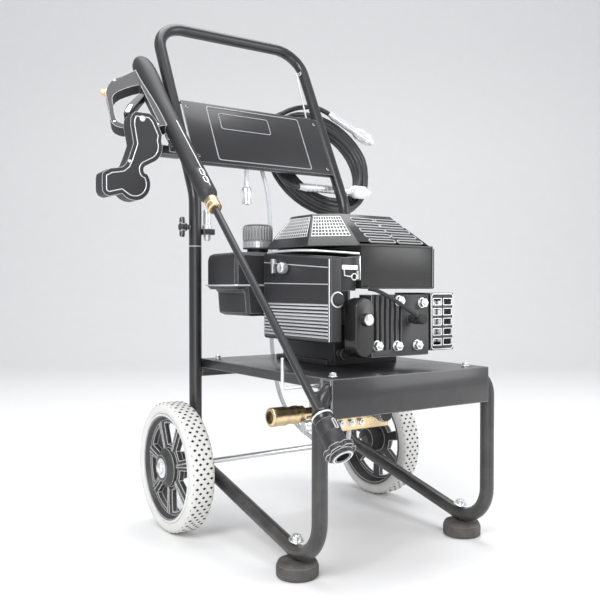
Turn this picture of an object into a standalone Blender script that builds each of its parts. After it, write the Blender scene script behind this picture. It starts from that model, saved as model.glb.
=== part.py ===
"""Wheeled petrol pressure washer: tube frame, engine, pump, trigger gun with lance, and hoses.

Metres, +Z up. The machine faces -Y and its left side is -X. Sizes below are read from the
middle of the four tube centres; the parent empty then sets the whole machine on the origin.
"""

import math

import bmesh
import bpy
from mathutils import Matrix, Vector

# ---- driving sizes -------------------------------------------------------------------------
GAP = 0.0003  # between pieces that touch
CENTRE_SHIFT = (0.0502, -0.0404)  # from the middle of the tubes to the middle of the machine's box

TUBE_R = 0.0127
HALF_TRACK = 0.1885  # tube centres from the middle
HALF_BASE = 0.2135  # legs and uprights from the middle
FRONT_BEND_R = 0.062
TOP_BEND_R = 0.038
REAR_BEND_R = 0.060
AXLE_ABOVE_TUBE = 0.0048  # the axle's middle over the sloping tube's, at the axle
UPRIGHT_TOP = 0.550
FOOT_R = 0.035
FOOT_H = 0.026

SHEET = 0.002
TRAY_TOP = 0.325
APRON_H = 0.063
SIDE_FLANGE_H = 0.018
REAR_FLANGE_H = 0.036

WHEEL_R = 0.1235
WHEEL_W = 0.050
WHEEL_Y = 0.176
TYRE_DEPTH = 0.0205
RIM_R = WHEEL_R - TYRE_DEPTH
WHEEL_GAP = 0.025  # between the side tube and the tyre
HUB_R = 0.0365
HUB_PROUD = 0.004  # the hub stands out past the tyre
SPOKES = 7
AXLE_R = 0.006
BORE_PLAY = 0.0004

SPIGOT_R = 0.0104
SPIGOT_L = 0.070
RAKE = math.radians(26.2)
RAKE_Z = 0.652  # height where the handle leans back
RAKE_BEND_R = 0.080
HANDLE_LENGTH = 0.439  # from that bend to the grip bar
HANDLE_CORNER_R = 0.066
PANEL_BOTTOM = 0.077
PANEL_TOP = 0.231
PANEL_FRONT = 0.010
PANEL_FLANGE = 0.012

COIL_R = 0.123  # middle of the wound hose
COIL_HALF = 0.018  # half the bundle's thickness
COIL_X = HALF_TRACK + 0.0165
COIL_ALONG = 0.157
COIL_BACK = 0.058
SLEEVE_R = 0.0095
COUPLING_R = 0.0150
HANGER_R = 0.004

LANCE_X = -0.232
COLLAR_Y = 0.065
COLLAR_Z = 0.627
LANCE_PITCH = math.radians(45.2)  # below level
GUN_ROLL = math.radians(20.0)
BARREL_R = 0.0175
LANCE_R = 0.0065
LANCE_END = 0.480
GUN_HALF = 0.011  # half thickness of the gun's handle
HOLSTER_Y = 0.207  # middle of the holster's shield
HOLSTER_T = 0.034
SADDLE_BACK = 0.196  # from the collar back to the holster's saddle

CRANK_X = 0.030
CRANK_Y = 0.020
CRANK_R = 0.012
HOOD_RIM_Z = 0.540
HOOD_TOP_Z = 0.603
HOOD_SKIRT_Z = 0.466
HOOD_WALL = 0.003
SKIRT_LEFT = -0.046
SKIRT_RIGHT = 0.124
SKIRT_FRONT = -0.138
SKIRT_BACK = 0.128
ROPE_X = 0.070
ROPE_Z = 0.5225
ROPE_R = 0.0022
ROPE_DRAW = 0.130  # length of starter rope held straight inside the hood
FLYWHEEL_R = 0.068
CASE_TOP = 0.400
PISTON_R = 0.026
BORE_X = 0.038
BORE_Z = 0.395
BORE_END = -0.064
TANK_FLOOR = 0.413
TANK_STEP = 0.464
TANK_TOP = 0.535
CAP_X = -0.090
CAP_Y = 0.135
CAP_R = 0.030
COVER_X = -0.115  # outer face of the louvred cover
COVER_T = 0.028
HEAD_FRONT = -0.150
PUMP_R = 0.045
PUMP_FLOOR = 0.218
PUMP_FLANGE_R = 0.060
HEAD_LOW = 0.212
HEAD_HIGH = 0.276
INLET_Y = -0.066
INLET_Z = 0.245

# ---- scene ---------------------------------------------------------------------------------
for leftover in list(bpy.data.objects):
    bpy.data.objects.remove(leftover, do_unlink=True)

PARTS = bpy.data.collections.new("pressure_washer")
CUTTERS = bpy.data.collections.new("cutters")
bpy.context.scene.collection.children.link(PARTS)
bpy.context.scene.collection.children.link(CUTTERS)

MACHINE = bpy.data.objects.new("machine", None)
MACHINE.location = (CENTRE_SHIFT[0], CENTRE_SHIFT[1], 0.0)
PARTS.objects.link(MACHINE)

FINISHES = {
    "black_powder_coat": ((0.020, 0.020, 0.022), 0.42, 0.0),
    "black_plastic": ((0.030, 0.030, 0.032), 0.55, 0.0),
    "gloss_black": ((0.018, 0.018, 0.020), 0.22, 0.0),
    "rubber": ((0.025, 0.025, 0.025), 0.80, 0.0),
    "pale_tyre": ((0.780, 0.780, 0.760), 0.75, 0.0),
    "dark_rim": ((0.030, 0.030, 0.032), 0.45, 0.0),
    "zinc_steel": ((0.720, 0.720, 0.740), 0.32, 1.0),
    "brass": ((0.780, 0.580, 0.270), 0.30, 1.0),
    "cast_aluminium": ((0.560, 0.570, 0.580), 0.50, 1.0),
    "bare_steel": ((0.450, 0.450, 0.460), 0.38, 1.0),
    "clear_hose": ((0.800, 0.830, 0.850), 0.25, 0.0),
}


def finish(name):
    """The named material, made the first time that it is asked for."""
    made = bpy.data.materials.get(name)
    if made:
        return made
    colour, rough, metal = FINISHES[name]
    made = bpy.data.materials.new(name)
    made.use_nodes = True
    shader = made.node_tree.nodes["Principled BSDF"]
    shader.inputs["Base Color"].default_value = (*colour, 1.0)
    shader.inputs["Roughness"].default_value = rough
    shader.inputs["Metallic"].default_value = metal
    return made


def place(name, data, material, parent=MACHINE, cutter=False):
    """Links an object under its parent; a cutter is kept out of the render."""
    obj = bpy.data.objects.new(name, data)
    if cutter:
        CUTTERS.objects.link(obj)
        obj.hide_render = True
        obj.display_type = "WIRE"
    else:
        PARTS.objects.link(obj)
        data.materials.append(finish(material))
    obj.parent = parent
    return obj


def frame_empty(name, origin, x_axis, y_axis, parent=MACHINE):
    """An empty whose local axes are the ones given, for pieces that lie askew."""
    x = Vector(x_axis).normalized()
    z = x.cross(Vector(y_axis)).normalized()
    y = z.cross(x)
    turn = Matrix((x, y, z)).transposed().to_4x4()
    empty = bpy.data.objects.new(name, None)
    PARTS.objects.link(empty)
    empty.parent = parent
    empty.matrix_local = Matrix.Translation(Vector(origin)) @ turn
    return empty


def mesh_of(name, build):
    """A mesh made by a function that fills a bmesh."""
    work = bmesh.new()
    build(work)
    bmesh.ops.recalc_face_normals(work, faces=work.faces)
    mesh = bpy.data.meshes.new(name)
    work.to_mesh(mesh)
    work.free()
    return mesh


def bevelled(obj, width, segments=1):
    """Rounded edges on a piece."""
    edge = obj.modifiers.new("rounded_edges", "BEVEL")
    edge.width = width
    edge.segments = segments
    edge.limit_method = "ANGLE"
    edge.angle_limit = math.radians(40)
    return obj


def box(name, low, high, material, parent=MACHINE, bevel=0.0, cutter=False):
    """A box between two corners."""
    low = Vector(low)
    size = Vector(high) - low

    def build(work):
        bmesh.ops.create_cube(work, size=1.0)
        bmesh.ops.scale(work, vec=size, verts=work.verts)

    obj = place(name, mesh_of(name, build), material, parent, cutter)
    obj.location = low + size / 2
    return bevelled(obj, bevel) if bevel else obj


def rod(name, start, end, radius, material, parent=MACHINE, sides=24, end_radius=None, cutter=False):
    """A cylinder or cone from one point to another."""
    start = Vector(start)
    run = Vector(end) - start

    def build(work):
        bmesh.ops.create_cone(
            work,
            cap_ends=True,
            segments=sides,
            radius1=radius,
            radius2=radius if end_radius is None else end_radius,
            depth=run.length,
        )

    obj = place(name, mesh_of(name, build), material, parent, cutter)
    obj.matrix_local = Matrix.Translation(start + run / 2) @ run.to_track_quat("Z",
                                                                               "Y").to_matrix().to_4x4()
    obj.data.shade_smooth()
    obj.data.set_sharp_from_angle(angle=math.radians(35))
    return obj


def turned(name, profile, origin, axis, material, parent=MACHINE, steps=20, cutter=False):
    """A turned shape. The profile holds (radius, distance along the axis), far end first."""
    mesh = bpy.data.meshes.new(name)
    points = [(radius, 0.0, height) for radius, height in profile]
    mesh.from_pydata(points, [(i, i + 1) for i in range(len(points) - 1)], [])
    obj = place(name, mesh, material, parent, cutter)
    turn = Vector(axis).to_track_quat("Z", "Y").to_matrix().to_4x4()
    obj.matrix_local = Matrix.Translation(Vector(origin)) @ turn
    spin = obj.modifiers.new("turned", "SCREW")
    spin.steps = steps
    spin.render_steps = steps
    spin.use_merge_vertices = True
    spin.merge_threshold = 0.00001
    spin.use_smooth_shade = True
    return obj


def ring_profile(inner, outer, low, high, rim=0.0):
    """Closed profile of a ring with chamfered outer corners, for turned()."""
    return [
        (inner, high),
        (outer - rim, high),
        (outer, high - rim),
        (outer, low + rim),
        (outer - rim, low),
        (inner, low),
        (inner, high),
    ]


def plate(name, outlines, half, material, parent=MACHINE, bevel=0.0, cutter=False):
    """A flat piece in its parent's XY plane, from closed outlines; inner ones are holes."""
    curve = bpy.data.curves.new(name, "CURVE")
    curve.dimensions = "2D"
    curve.fill_mode = "BOTH"
    curve.extrude = half
    for outline in outlines:
        spline = curve.splines.new("POLY")
        spline.points.add(len(outline) - 1)
        for point, (x, y) in zip(spline.points, outline):
            point.co = (x, y, 0.0, 1.0)
        spline.use_cyclic_u = True
    obj = place(name, curve, material, parent, cutter)
    return bevelled_curve(obj, bevel) if bevel else obj


def bevelled_curve(obj, width):
    """Welds a curve's loose caps, then rounds its edges."""
    weld = obj.modifiers.new("weld", "WELD")
    weld.merge_threshold = 0.00001
    return bevelled(obj, width)


def tube(name, path, radius, material, parent=MACHINE, sides=2, radii=None):
    """A round bar or pipe along a list of points."""
    curve = bpy.data.curves.new(name, "CURVE")
    curve.dimensions = "3D"
    curve.bevel_depth = radius
    curve.bevel_resolution = sides
    curve.use_fill_caps = True
    spline = curve.splines.new("POLY")
    spline.points.add(len(path) - 1)
    for i, (point, at) in enumerate(zip(spline.points, path)):
        point.co = (*at, 1.0)
        point.radius = radii[i] if radii else 1.0
    return place(name, curve, material, parent)


def filleted(corners, radii, step=math.radians(18)):
    """The corner points of a bent bar, each inner one replaced by an arc of its radius."""
    corners = [Vector(c) for c in corners]
    path = [corners[0]]
    for before, corner, after, radius in zip(corners, corners[1:], corners[2:], radii):
        incoming = (before - corner).normalized()
        outgoing = (after - corner).normalized()
        half = incoming.angle(outgoing) / 2
        centre = corner + (incoming + outgoing).normalized() * radius / math.sin(half)
        first = corner + incoming * radius / math.tan(half) - centre
        last = corner + outgoing * radius / math.tan(half) - centre
        turn = first.angle(last)
        count = max(2, round(turn / step))
        for i in range(count + 1):
            share = i / count
            swung = first * math.sin((1 - share) * turn) + last * math.sin(share * turn)
            path.append(centre + swung / math.sin(turn))
    path.append(corners[-1])
    return path


def arc(cx, cy, radius, start, end, count):
    """Points on a round stretch of an outline, angles in degrees."""
    angles = [math.radians(start + (end - start) * i / count) for i in range(count + 1)]
    return [(cx + radius * math.cos(a), cy + radius * math.sin(a)) for a in angles]


def smooth_route(points, spacing):
    """Points at an even spacing on one smooth curve through a route's own points."""
    points = [Vector(p) for p in points]
    padded = [points[0] * 2 - points[1], *points, points[-1] * 2 - points[-2]]
    fine = []
    for p0, p1, p2, p3 in zip(padded, padded[1:], padded[2:], padded[3:]):
        for i in range(24):
            t = i / 24
            fine.append(
                0.5 * (2 * p1 + (p2 - p0) * t + (2 * p0 - 5 * p1 + 4 * p2 - p3) * t**2
                       + (3 * p1 - p0 - 3 * p2 + p3) * t**3)
            )
    fine.append(points[-1])
    total = sum((b - a).length for a, b in zip(fine, fine[1:]))
    count = max(2, round(total / spacing))
    route = [fine[0]]
    walked = 0.0
    for a, b in zip(fine, fine[1:]):
        walked += (b - a).length
        if walked >= len(route) * total / count and len(route) < count:
            route.append(b)
    route.append(fine[-1])
    return route


def solid(obj):
    """Turns a curve, or a piece with modifiers, into a plain closed mesh."""
    bpy.context.view_layer.update()
    graph = bpy.context.evaluated_depsgraph_get()
    mesh = bpy.data.meshes.new_from_object(obj.evaluated_get(graph))
    work = bmesh.new()
    work.from_mesh(mesh)
    bmesh.ops.remove_doubles(work, verts=work.verts, dist=0.00001)
    bmesh.ops.recalc_face_normals(work, faces=work.faces)
    work.to_mesh(mesh)
    work.free()
    name = obj.name
    cutter = obj.hide_render
    old_matrix = obj.matrix_local.copy()
    parent = obj.parent
    bpy.data.objects.remove(obj, do_unlink=True)
    made = bpy.data.objects.new(name, mesh)
    (CUTTERS if cutter else PARTS).objects.link(made)
    made.hide_render = cutter
    if cutter:
        made.display_type = "WIRE"
    made.parent = parent
    made.matrix_local = old_matrix
    return made


def combine(obj, other, operation):
    """Cuts the other shape out of a piece, or joins it on, with an exact Boolean."""
    step = obj.modifiers.new(operation.lower(), "BOOLEAN")
    step.operation = operation
    step.object = other
    step.solver = "EXACT"
    other.hide_render = True
    other.display_type = "WIRE"
    if other.name not in CUTTERS.objects:
        PARTS.objects.unlink(other)
        CUTTERS.objects.link(other)
    return obj


# ---- frame ---------------------------------------------------------------------------------
LEG_Y = -HALF_BASE
UPRIGHT_Y = HALF_BASE
CROSSBAR_Z = TRAY_TOP - SHEET - GAP - TUBE_R
BEND_CENTRE_Z = FOOT_H + GAP + TUBE_R + FRONT_BEND_R
BEND_CENTRE_Y = LEG_Y + FRONT_BEND_R
AXLE_RUN = WHEEL_Y - BEND_CENTRE_Y
AXLE_RISE = WHEEL_R - AXLE_ABOVE_TUBE - BEND_CENTRE_Z
DIAGONAL_ANGLE = (math.asin(FRONT_BEND_R / math.hypot(AXLE_RUN, AXLE_RISE))
                  + math.atan2(AXLE_RISE, AXLE_RUN))
TRAY_HALF = HALF_TRACK - TUBE_R - GAP
TRAY_FRONT = LEG_Y - TUBE_R - GAP - SHEET
TRAY_BACK = UPRIGHT_Y
AXLE_Z = WHEEL_R


def diagonal_z(y):
    """Height of the sloping tube's centre at a distance along the machine."""
    return (BEND_CENTRE_Z - FRONT_BEND_R / math.cos(DIAGONAL_ANGLE)
            + (y - BEND_CENTRE_Y) * math.tan(DIAGONAL_ANGLE))


def side_tube(name, side):
    """One side of the frame: half of the crossbar, leg, sloping tube and upright in one bent pipe."""
    x = side * HALF_TRACK
    corners = [
        (side * GAP / 2, LEG_Y, CROSSBAR_Z),
        (x, LEG_Y, CROSSBAR_Z),
        (x, LEG_Y, diagonal_z(LEG_Y)),
        (x, UPRIGHT_Y, diagonal_z(UPRIGHT_Y)),
        (x, UPRIGHT_Y, UPRIGHT_TOP),
    ]
    bent = filleted(corners, [TOP_BEND_R, FRONT_BEND_R, REAR_BEND_R])
    spigot = [Vector((x, UPRIGHT_Y, z)) for z in (UPRIGHT_TOP + 0.0002, UPRIGHT_TOP + SPIGOT_L)]
    thin = SPIGOT_R / TUBE_R
    pipe = solid(tube(name, bent + spigot, TUBE_R, "black_powder_coat", sides=4,
                      radii=[1.0] * len(bent) + [thin, thin]))
    hole = rod(name + "_axle_hole", (x - 0.03, WHEEL_Y, AXLE_Z), (x + 0.03, WHEEL_Y, AXLE_Z),
               AXLE_R + BORE_PLAY, "", sides=16, cutter=True)
    return combine(pipe, hole, "DIFFERENCE")


def foot(name, side):
    """A turned rubber foot under the front bend."""
    profile = [(0.0, FOOT_H), (FOOT_R - 0.006, FOOT_H), (FOOT_R - 0.003, FOOT_H - 0.003),
               (FOOT_R, 0.004), (FOOT_R - 0.003, 0.0), (0.0, 0.0)]
    return turned(name, profile, (side * HALF_TRACK, BEND_CENTRE_Y, 0.0), (0, 0, 1), "rubber")


FLANGE_START = LEG_Y + TUBE_R + 0.004


def engine_tray():
    """The folded sheet that carries the engine: top, front apron, side and rear flanges."""
    half = TRAY_HALF
    low = TRAY_TOP - APRON_H
    under = TRAY_TOP - SHEET
    clear = 0.010
    tray = box("engine_tray", (-half, TRAY_FRONT, low), (half, TRAY_BACK, TRAY_TOP), "black_powder_coat")
    cuts = {
        "inside": ((-half + SHEET, TRAY_FRONT + SHEET, low - clear),
                   (half - SHEET, TRAY_BACK - SHEET, under)),
        "crossbar_room": ((-half - clear, TRAY_FRONT + SHEET, low - clear),
                          (half + clear, FLANGE_START, under)),
        "under_sides": ((-half - clear, FLANGE_START - clear / 2, low - clear),
                        (half + clear, TRAY_BACK - SHEET * 2, TRAY_TOP - SIDE_FLANGE_H)),
        "under_rear": ((-half - clear, TRAY_BACK - SHEET * 3, low - clear),
                       (half + clear, TRAY_BACK + clear, TRAY_TOP - REAR_FLANGE_H)),
    }
    for word, (start, end) in cuts.items():
        combine(tray, box(f"tray_cut_{word}", start, end, "", cutter=True), "DIFFERENCE")
    opening = rod("tray_shaft_hole", (CRANK_X, CRANK_Y, under - clear),
                  (CRANK_X, CRANK_Y, TRAY_TOP + clear),
                  0.032, "", cutter=True)
    return combine(tray, opening, "DIFFERENCE")


def lance_hook():
    """A bent wire on the tray's left flange, for the lance to lie in."""
    wire = 0.0026
    y = FLANGE_START + wire
    out = LANCE_X - LANCE_R - wire - 0.004
    low = TRAY_TOP - SIDE_FLANGE_H + 0.005
    corners = [(-TRAY_HALF - GAP, y, low), (out + 0.020, y, low), (out, y, low - 0.002),
               (out, y, low + 0.048)]
    return tube("lance_hook", filleted(corners, [0.012, 0.010]), wire, "zinc_steel")


# ---- wheels --------------------------------------------------------------------------------
TYRE_IN = HALF_TRACK + TUBE_R + WHEEL_GAP
TYRE_OUT = TYRE_IN + WHEEL_W
HUB_OUT = TYRE_OUT + HUB_PROUD


def wheel(side, word):
    """Tyre and spoked rim of one wheel, turned about the axle."""
    centre = (0.0, WHEEL_Y, AXLE_Z)
    axis = (side, 0, 0)
    tyre_profile = [
        (RIM_R + GAP, TYRE_OUT - 0.004),
        (RIM_R + 0.010, TYRE_OUT),
        (WHEEL_R - 0.005, TYRE_OUT - 0.003),
        (WHEEL_R, TYRE_OUT - 0.010),
        (WHEEL_R, TYRE_IN + 0.010),
        (WHEEL_R - 0.005, TYRE_IN + 0.003),
        (RIM_R + 0.010, TYRE_IN),
        (RIM_R + GAP, TYRE_IN + 0.004),
        (RIM_R + GAP, TYRE_OUT - 0.004),
    ]
    tyre = turned(f"{word}_tyre", tyre_profile, centre, axis, "pale_tyre", steps=35)
    bore = AXLE_R + BORE_PLAY
    web_out = TYRE_OUT - 0.014
    web_in = web_out - 0.010
    rim_profile = [
        (bore, HUB_OUT),
        (HUB_R - 0.012, HUB_OUT),
        (HUB_R, HUB_OUT - 0.010),
        (HUB_R, web_out),
        (RIM_R - 0.012, web_out),
        (RIM_R - 0.006, TYRE_OUT - 0.004),
        (RIM_R, TYRE_OUT - 0.004),
        (RIM_R, TYRE_IN + 0.004),
        (RIM_R - 0.006, TYRE_IN + 0.004),
        (RIM_R - 0.012, web_in),
        (HUB_R - 0.008, web_in),
        (HUB_R - 0.012, TYRE_IN - 0.006),
        (bore, TYRE_IN - 0.006),
        (bore, HUB_OUT),
    ]
    rim = solid(turned(f"{word}_rim", rim_profile, centre, axis, "dark_rim", steps=35))
    spoke_frame = frame_empty(f"{word}_spoke_frame", ((side * (web_out + web_in) / 2), WHEEL_Y, AXLE_Z),
                              (0, side, 0), (0, 0, 1))
    for i in range(SPOKES):
        middle = 360 * i / SPOKES + 90
        half_window = 180 / SPOKES - 8
        outline = (arc(0, 0, RIM_R - 0.018, middle - half_window, middle + half_window, 4)
                   + arc(0, 0, HUB_R + 0.007, middle + half_window - 4, middle - half_window + 4, 2))
        window = plate(f"{word}_window_{i}", [outline], 0.012, "", spoke_frame, cutter=True)
        combine(rim, solid(window), "DIFFERENCE")
    return tyre, rim


def axle():
    """The rod through both side tubes, with a domed retaining head at each end."""
    head = HUB_OUT + GAP
    half = [(0.0, head + 0.008), (0.006, head + 0.007), (0.011, head + 0.003), (0.011, head),
            (AXLE_R, head)]
    other_half = [(radius, -height) for radius, height in reversed(half)]
    return turned("axle", half + other_half, (0, WHEEL_Y, AXLE_Z), (1, 0, 0), "zinc_steel", steps=16)


# ---- handle --------------------------------------------------------------------------------
def raked(x, back, along):
    """A point in the leaning part of the handle: across, behind its plane, and up along it."""
    return (x, UPRIGHT_Y + back * math.cos(RAKE) + along * math.sin(RAKE),
            RAKE_Z - back * math.sin(RAKE) + along * math.cos(RAKE))


def handle_tube():
    """The upper handle: one bent pipe whose lower ends are sockets over the frame's spigots."""
    x = HALF_TRACK
    start = UPRIGHT_TOP + GAP * 2
    corners = [
        (-x, UPRIGHT_Y, start),
        (-x, UPRIGHT_Y, RAKE_Z),
        raked(-x, 0, HANDLE_LENGTH),
        raked(x, 0, HANDLE_LENGTH),
        (x, UPRIGHT_Y, RAKE_Z),
        (x, UPRIGHT_Y, start),
    ]
    bends = [RAKE_BEND_R, HANDLE_CORNER_R, HANDLE_CORNER_R, RAKE_BEND_R]
    pipe = solid(tube("handle_tube", filleted(corners, bends), TUBE_R, "black_powder_coat", sides=4))
    for side in (-1, 1):
        socket = rod(f"handle_socket_{side}", (side * x, UPRIGHT_Y, start - 0.010),
                     (side * x, UPRIGHT_Y, UPRIGHT_TOP + SPIGOT_L + GAP), SPIGOT_R + BORE_PLAY, "", sides=16,
                     cutter=True)
        combine(pipe, socket, "DIFFERENCE")
    return pipe


def billboard_panel():
    """The sheet between the handle's tubes, folded back along its top and bottom."""
    half = TRAY_HALF
    front = -PANEL_FRONT
    leaning = frame_empty("panel_frame", raked(0, front, (PANEL_BOTTOM + PANEL_TOP) / 2), (1, 0, 0),
                          (0, math.cos(RAKE), -math.sin(RAKE)))
    tall = (PANEL_TOP - PANEL_BOTTOM) / 2
    sheet = solid(box("billboard_panel", (-half, 0, -tall), (half, SHEET * 0.75, tall),
                      "black_powder_coat", leaning))
    for name, low, high in (("panel_top_flange", -tall, -tall + SHEET),
                            ("panel_bottom_flange", tall - SHEET, tall)):
        flange = box(name, (-half, SHEET * 0.3, low), (half, PANEL_FLANGE, high), "", leaning, cutter=True)
        combine(sheet, flange, "UNION")
    return sheet


def hose_hanger():
    """The rod behind the right tube that carries the coiled hose, turned up at its end."""
    across = COIL_X - HALF_TRACK
    reach = COIL_R - COIL_HALF - HANGER_R - GAP * 2
    top = COIL_ALONG + math.sqrt(reach**2 - across**2)
    behind = COIL_BACK + COIL_HALF + 0.012
    corners = [raked(HALF_TRACK, TUBE_R + GAP, top), raked(HALF_TRACK, behind, top),
               raked(HALF_TRACK, behind, top + 0.030)]
    return tube("hose_hanger", filleted(corners, [0.010]), HANGER_R, "black_powder_coat")


def guide_wire():
    """A wire stay from the top of the right tube down to the panel's corner."""
    wire = 0.002
    inner = HALF_TRACK - TUBE_R - GAP
    corners = [raked(inner, 0, 0.372), raked(inner - 0.012, -0.004, 0.372),
               raked(inner - 0.026, PANEL_FLANGE / 4 - PANEL_FRONT, PANEL_TOP + 0.003)]
    return tube("guide_wire", filleted(corners, [0.006]), wire, "zinc_steel")


def clamp_knob(name, side):
    """A wing-headed clamp screw that bears on the handle's tube."""
    z = UPRIGHT_TOP + 0.038
    root = side * (HALF_TRACK + TUBE_R + GAP)
    reach = side * 0.026
    profile = [(0.0, 0.022), (0.006, 0.022), (0.0085, 0.019), (0.0085, 0.008), (0.005, 0.007),
               (0.005, 0.0), (0.0, 0.0)]
    body = solid(turned(name, profile, (root, UPRIGHT_Y, z), (side, 0, 0), "black_plastic", steps=16))
    wing_frame = frame_empty(name + "_wing_frame", (root + reach * 0.6, UPRIGHT_Y, z), (0, 1, 0), (0, 0, 1))
    outline = arc(0, 0.014, 0.006, 0, 180, 6) + arc(0, -0.014, 0.006, 180, 360, 6)
    wing = solid(plate(name + "_wing", [outline], 0.0035, "", wing_frame, cutter=True))
    return combine(body, wing, "UNION")


def spare_nozzle():
    """The low-pressure nozzle kept beside the left upright: its flange rests on a bored clip."""
    x = -HALF_TRACK + TUBE_R + 0.014
    low = 0.562
    flange = low + 0.024
    body = 0.0075
    profile = [(0.0, flange + 0.038), (0.0075, flange + 0.038), (0.0085, flange + 0.036),
               (0.0085, flange + 0.010),
               (0.0075, flange + 0.008), (0.0105, flange + 0.006), (0.0105, flange), (body, flange),
               (body, low + 0.004), (0.0050, low), (0.0, low)]
    turned("spare_nozzle", profile, (x, UPRIGHT_Y, 0.0), (0, 0, 1), "brass")
    start = -HALF_TRACK + TUBE_R + GAP
    clip = solid(box("nozzle_clip", (start, UPRIGHT_Y - 0.012, flange - 0.012),
                     (x + 0.012, UPRIGHT_Y + 0.012, flange - GAP),
                     "black_plastic"))
    bore = rod("nozzle_clip_bore", (x, UPRIGHT_Y, low), (x, UPRIGHT_Y, flange + 0.01), body + BORE_PLAY,
               "", sides=20, cutter=True)
    return combine(clip, bore, "DIFFERENCE")


# ---- gun and lance -------------------------------------------------------------------------
FORWARD = Vector((0.0, -math.cos(LANCE_PITCH), -math.sin(LANCE_PITCH)))
SIDEWAYS = Vector((-1.0, 0.0, 0.0))
UNDER = Vector((0.0, math.sin(LANCE_PITCH), -math.cos(LANCE_PITCH)))
GRIP_WAY = SIDEWAYS * math.cos(GUN_ROLL) + UNDER * math.sin(GUN_ROLL)
GUN = frame_empty("gun_frame", (LANCE_X, COLLAR_Y, COLLAR_Z), FORWARD, GRIP_WAY)


def gun_shell():
    """Barrel shroud with its humped rear end, closed handle and finger guard, in the gun's own frame."""
    profile = [(0.0, 0.0), (0.0125, 0.0), (BARREL_R, -0.012), (BARREL_R, -0.270), (0.0203, -0.335),
               (0.0232, -0.385), (0.0232, -0.425), (0.018, -0.453), (0.007, -0.465), (0.0, -0.466)]
    shell = solid(turned("gun_shell", profile, (0, 0, 0), (1, 0, 0), "black_plastic", GUN, steps=18))
    outer = [(-0.424, 0.010), (-0.404, 0.048), (-0.398, 0.070), (-0.380, 0.088), (-0.354, 0.100),
             (-0.306, 0.106),
             (-0.266, 0.114), (-0.246, 0.112), (-0.234, 0.100), (-0.222, 0.060), (-0.218, 0.006)]
    inner = [(-0.364, 0.026), (-0.358, 0.060), (-0.346, 0.086), (-0.306, 0.096), (-0.268, 0.103),
             (-0.252, 0.100),
             (-0.243, 0.090), (-0.232, 0.058), (-0.230, 0.026)]
    handle = solid(plate("gun_handle_outline", [outer, inner], GUN_HALF, "", GUN, bevel=0.003, cutter=True))
    return combine(shell, handle, "UNION")


def gun_inlet():
    """The threaded hose inlet at the foot of the gun's handle."""
    edge_start = Vector((-0.380, 0.088, 0.0))
    edge_end = Vector((-0.354, 0.100, 0.0))
    way = Vector((0, 0, 1)).cross(edge_end - edge_start).normalized()
    profile = [(0.0, 0.012), (0.0065, 0.012), (0.0075, 0.010), (0.0075, 0.005), (0.009, 0.004),
               (0.009, GAP), (0.0, GAP)]
    return turned("gun_inlet", profile, (edge_start + edge_end) / 2, way, "brass", GUN, steps=14)


def gun_holster():
    """The moulded holster on the left tube: an S-shaped shield, its arm, and a saddle under the barrel."""
    shield_frame = frame_empty("holster_frame", (-0.300, HOLSTER_Y, 0.700), (1, 0, 0), (0, 0, 1))
    outline = [(-0.030, 0.092), (-0.024, 0.098), (0.004, 0.098), (0.018, 0.086), (0.030, 0.060)]
    outline += arc(-0.003, 0.036, 0.0335, 20, -58, 6)
    outline += arc(0.001, -0.010, 0.009, 130, 235, 4)
    outline += arc(-0.026, -0.037, 0.032, 40, -140, 9)
    outline += [(-0.063, -0.061), (-0.074, -0.064), (-0.085, -0.060), (-0.089, -0.048), (-0.089, -0.028),
                (-0.083, -0.018), (-0.072, -0.012), (-0.050, -0.008), (-0.043, -0.002), (-0.028,
                                                                                         0.038), (-0.034,
                                                                                                  0.070)]
    shield = solid(plate("gun_holster", [outline], HOLSTER_T / 2, "black_plastic", shield_frame,
                         bevel=0.004))
    arm_z = RAKE_Z + 0.087
    tube_y = UPRIGHT_Y + (arm_z - RAKE_Z) * math.tan(RAKE)
    arm = box("holster_arm", (-0.302, HOLSTER_Y + HOLSTER_T / 2 - 0.002, arm_z - 0.009),
              (-HALF_TRACK - TUBE_R - GAP, tube_y + 0.008, arm_z + 0.009), "", cutter=True)
    combine(shield, arm, "UNION")
    at = Vector((LANCE_X, COLLAR_Y, COLLAR_Z)) - FORWARD * SADDLE_BACK
    seat = frame_empty("saddle_frame", at, (1, 0, 0), UNDER)
    inner = BARREL_R + 0.0008
    outer = inner + 0.0045
    cradle = solid(plate("holster_saddle", [arc(0, 0, outer, 15, 165, 9) + arc(0, 0, inner, 165, 15, 9)],
                         0.010, "", seat,
                         cutter=True))
    combine(shield, cradle, "UNION")
    web = box("saddle_web", (-0.008, inner + 0.001, -0.008), (0.008, inner + 0.022, 0.008), "", seat,
              cutter=True)
    return combine(shield, web, "UNION")


TRIGGER_PIVOT = (-0.330, 0.034, 0.0)
LOCK_PIVOT = (-0.2830, 0.0745, -0.0085 - GAP - 0.0015)


def trigger():
    """The long trigger lever inside the finger guard; its frame stands on its pivot."""
    pivot = frame_empty("trigger_pivot", TRIGGER_PIVOT, (1, 0, 0), (0, 1, 0), GUN)
    outline = arc(0, 0, 0.007, 135, 315, 5) + [(0.030, 0.018), (0.054, 0.040), (0.055, 0.047),
                                               (0.047, 0.049), (0.022, 0.034)]
    return plate("trigger", [outline], 0.0085, "gloss_black", pivot, bevel=0.0015)


def trigger_lock():
    """The small latch at the trigger's free end that stops it from being pulled."""
    pivot = frame_empty("lock_pivot", LOCK_PIVOT, (1, 0, 0), (0, 1, 0), GUN)
    outline = arc(0, 0, 0.0045, -60, 120, 5) + [(-0.020, -0.010), (-0.017, -0.016)]
    return plate("trigger_lock", [outline], 0.0015, "zinc_steel", pivot)


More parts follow.
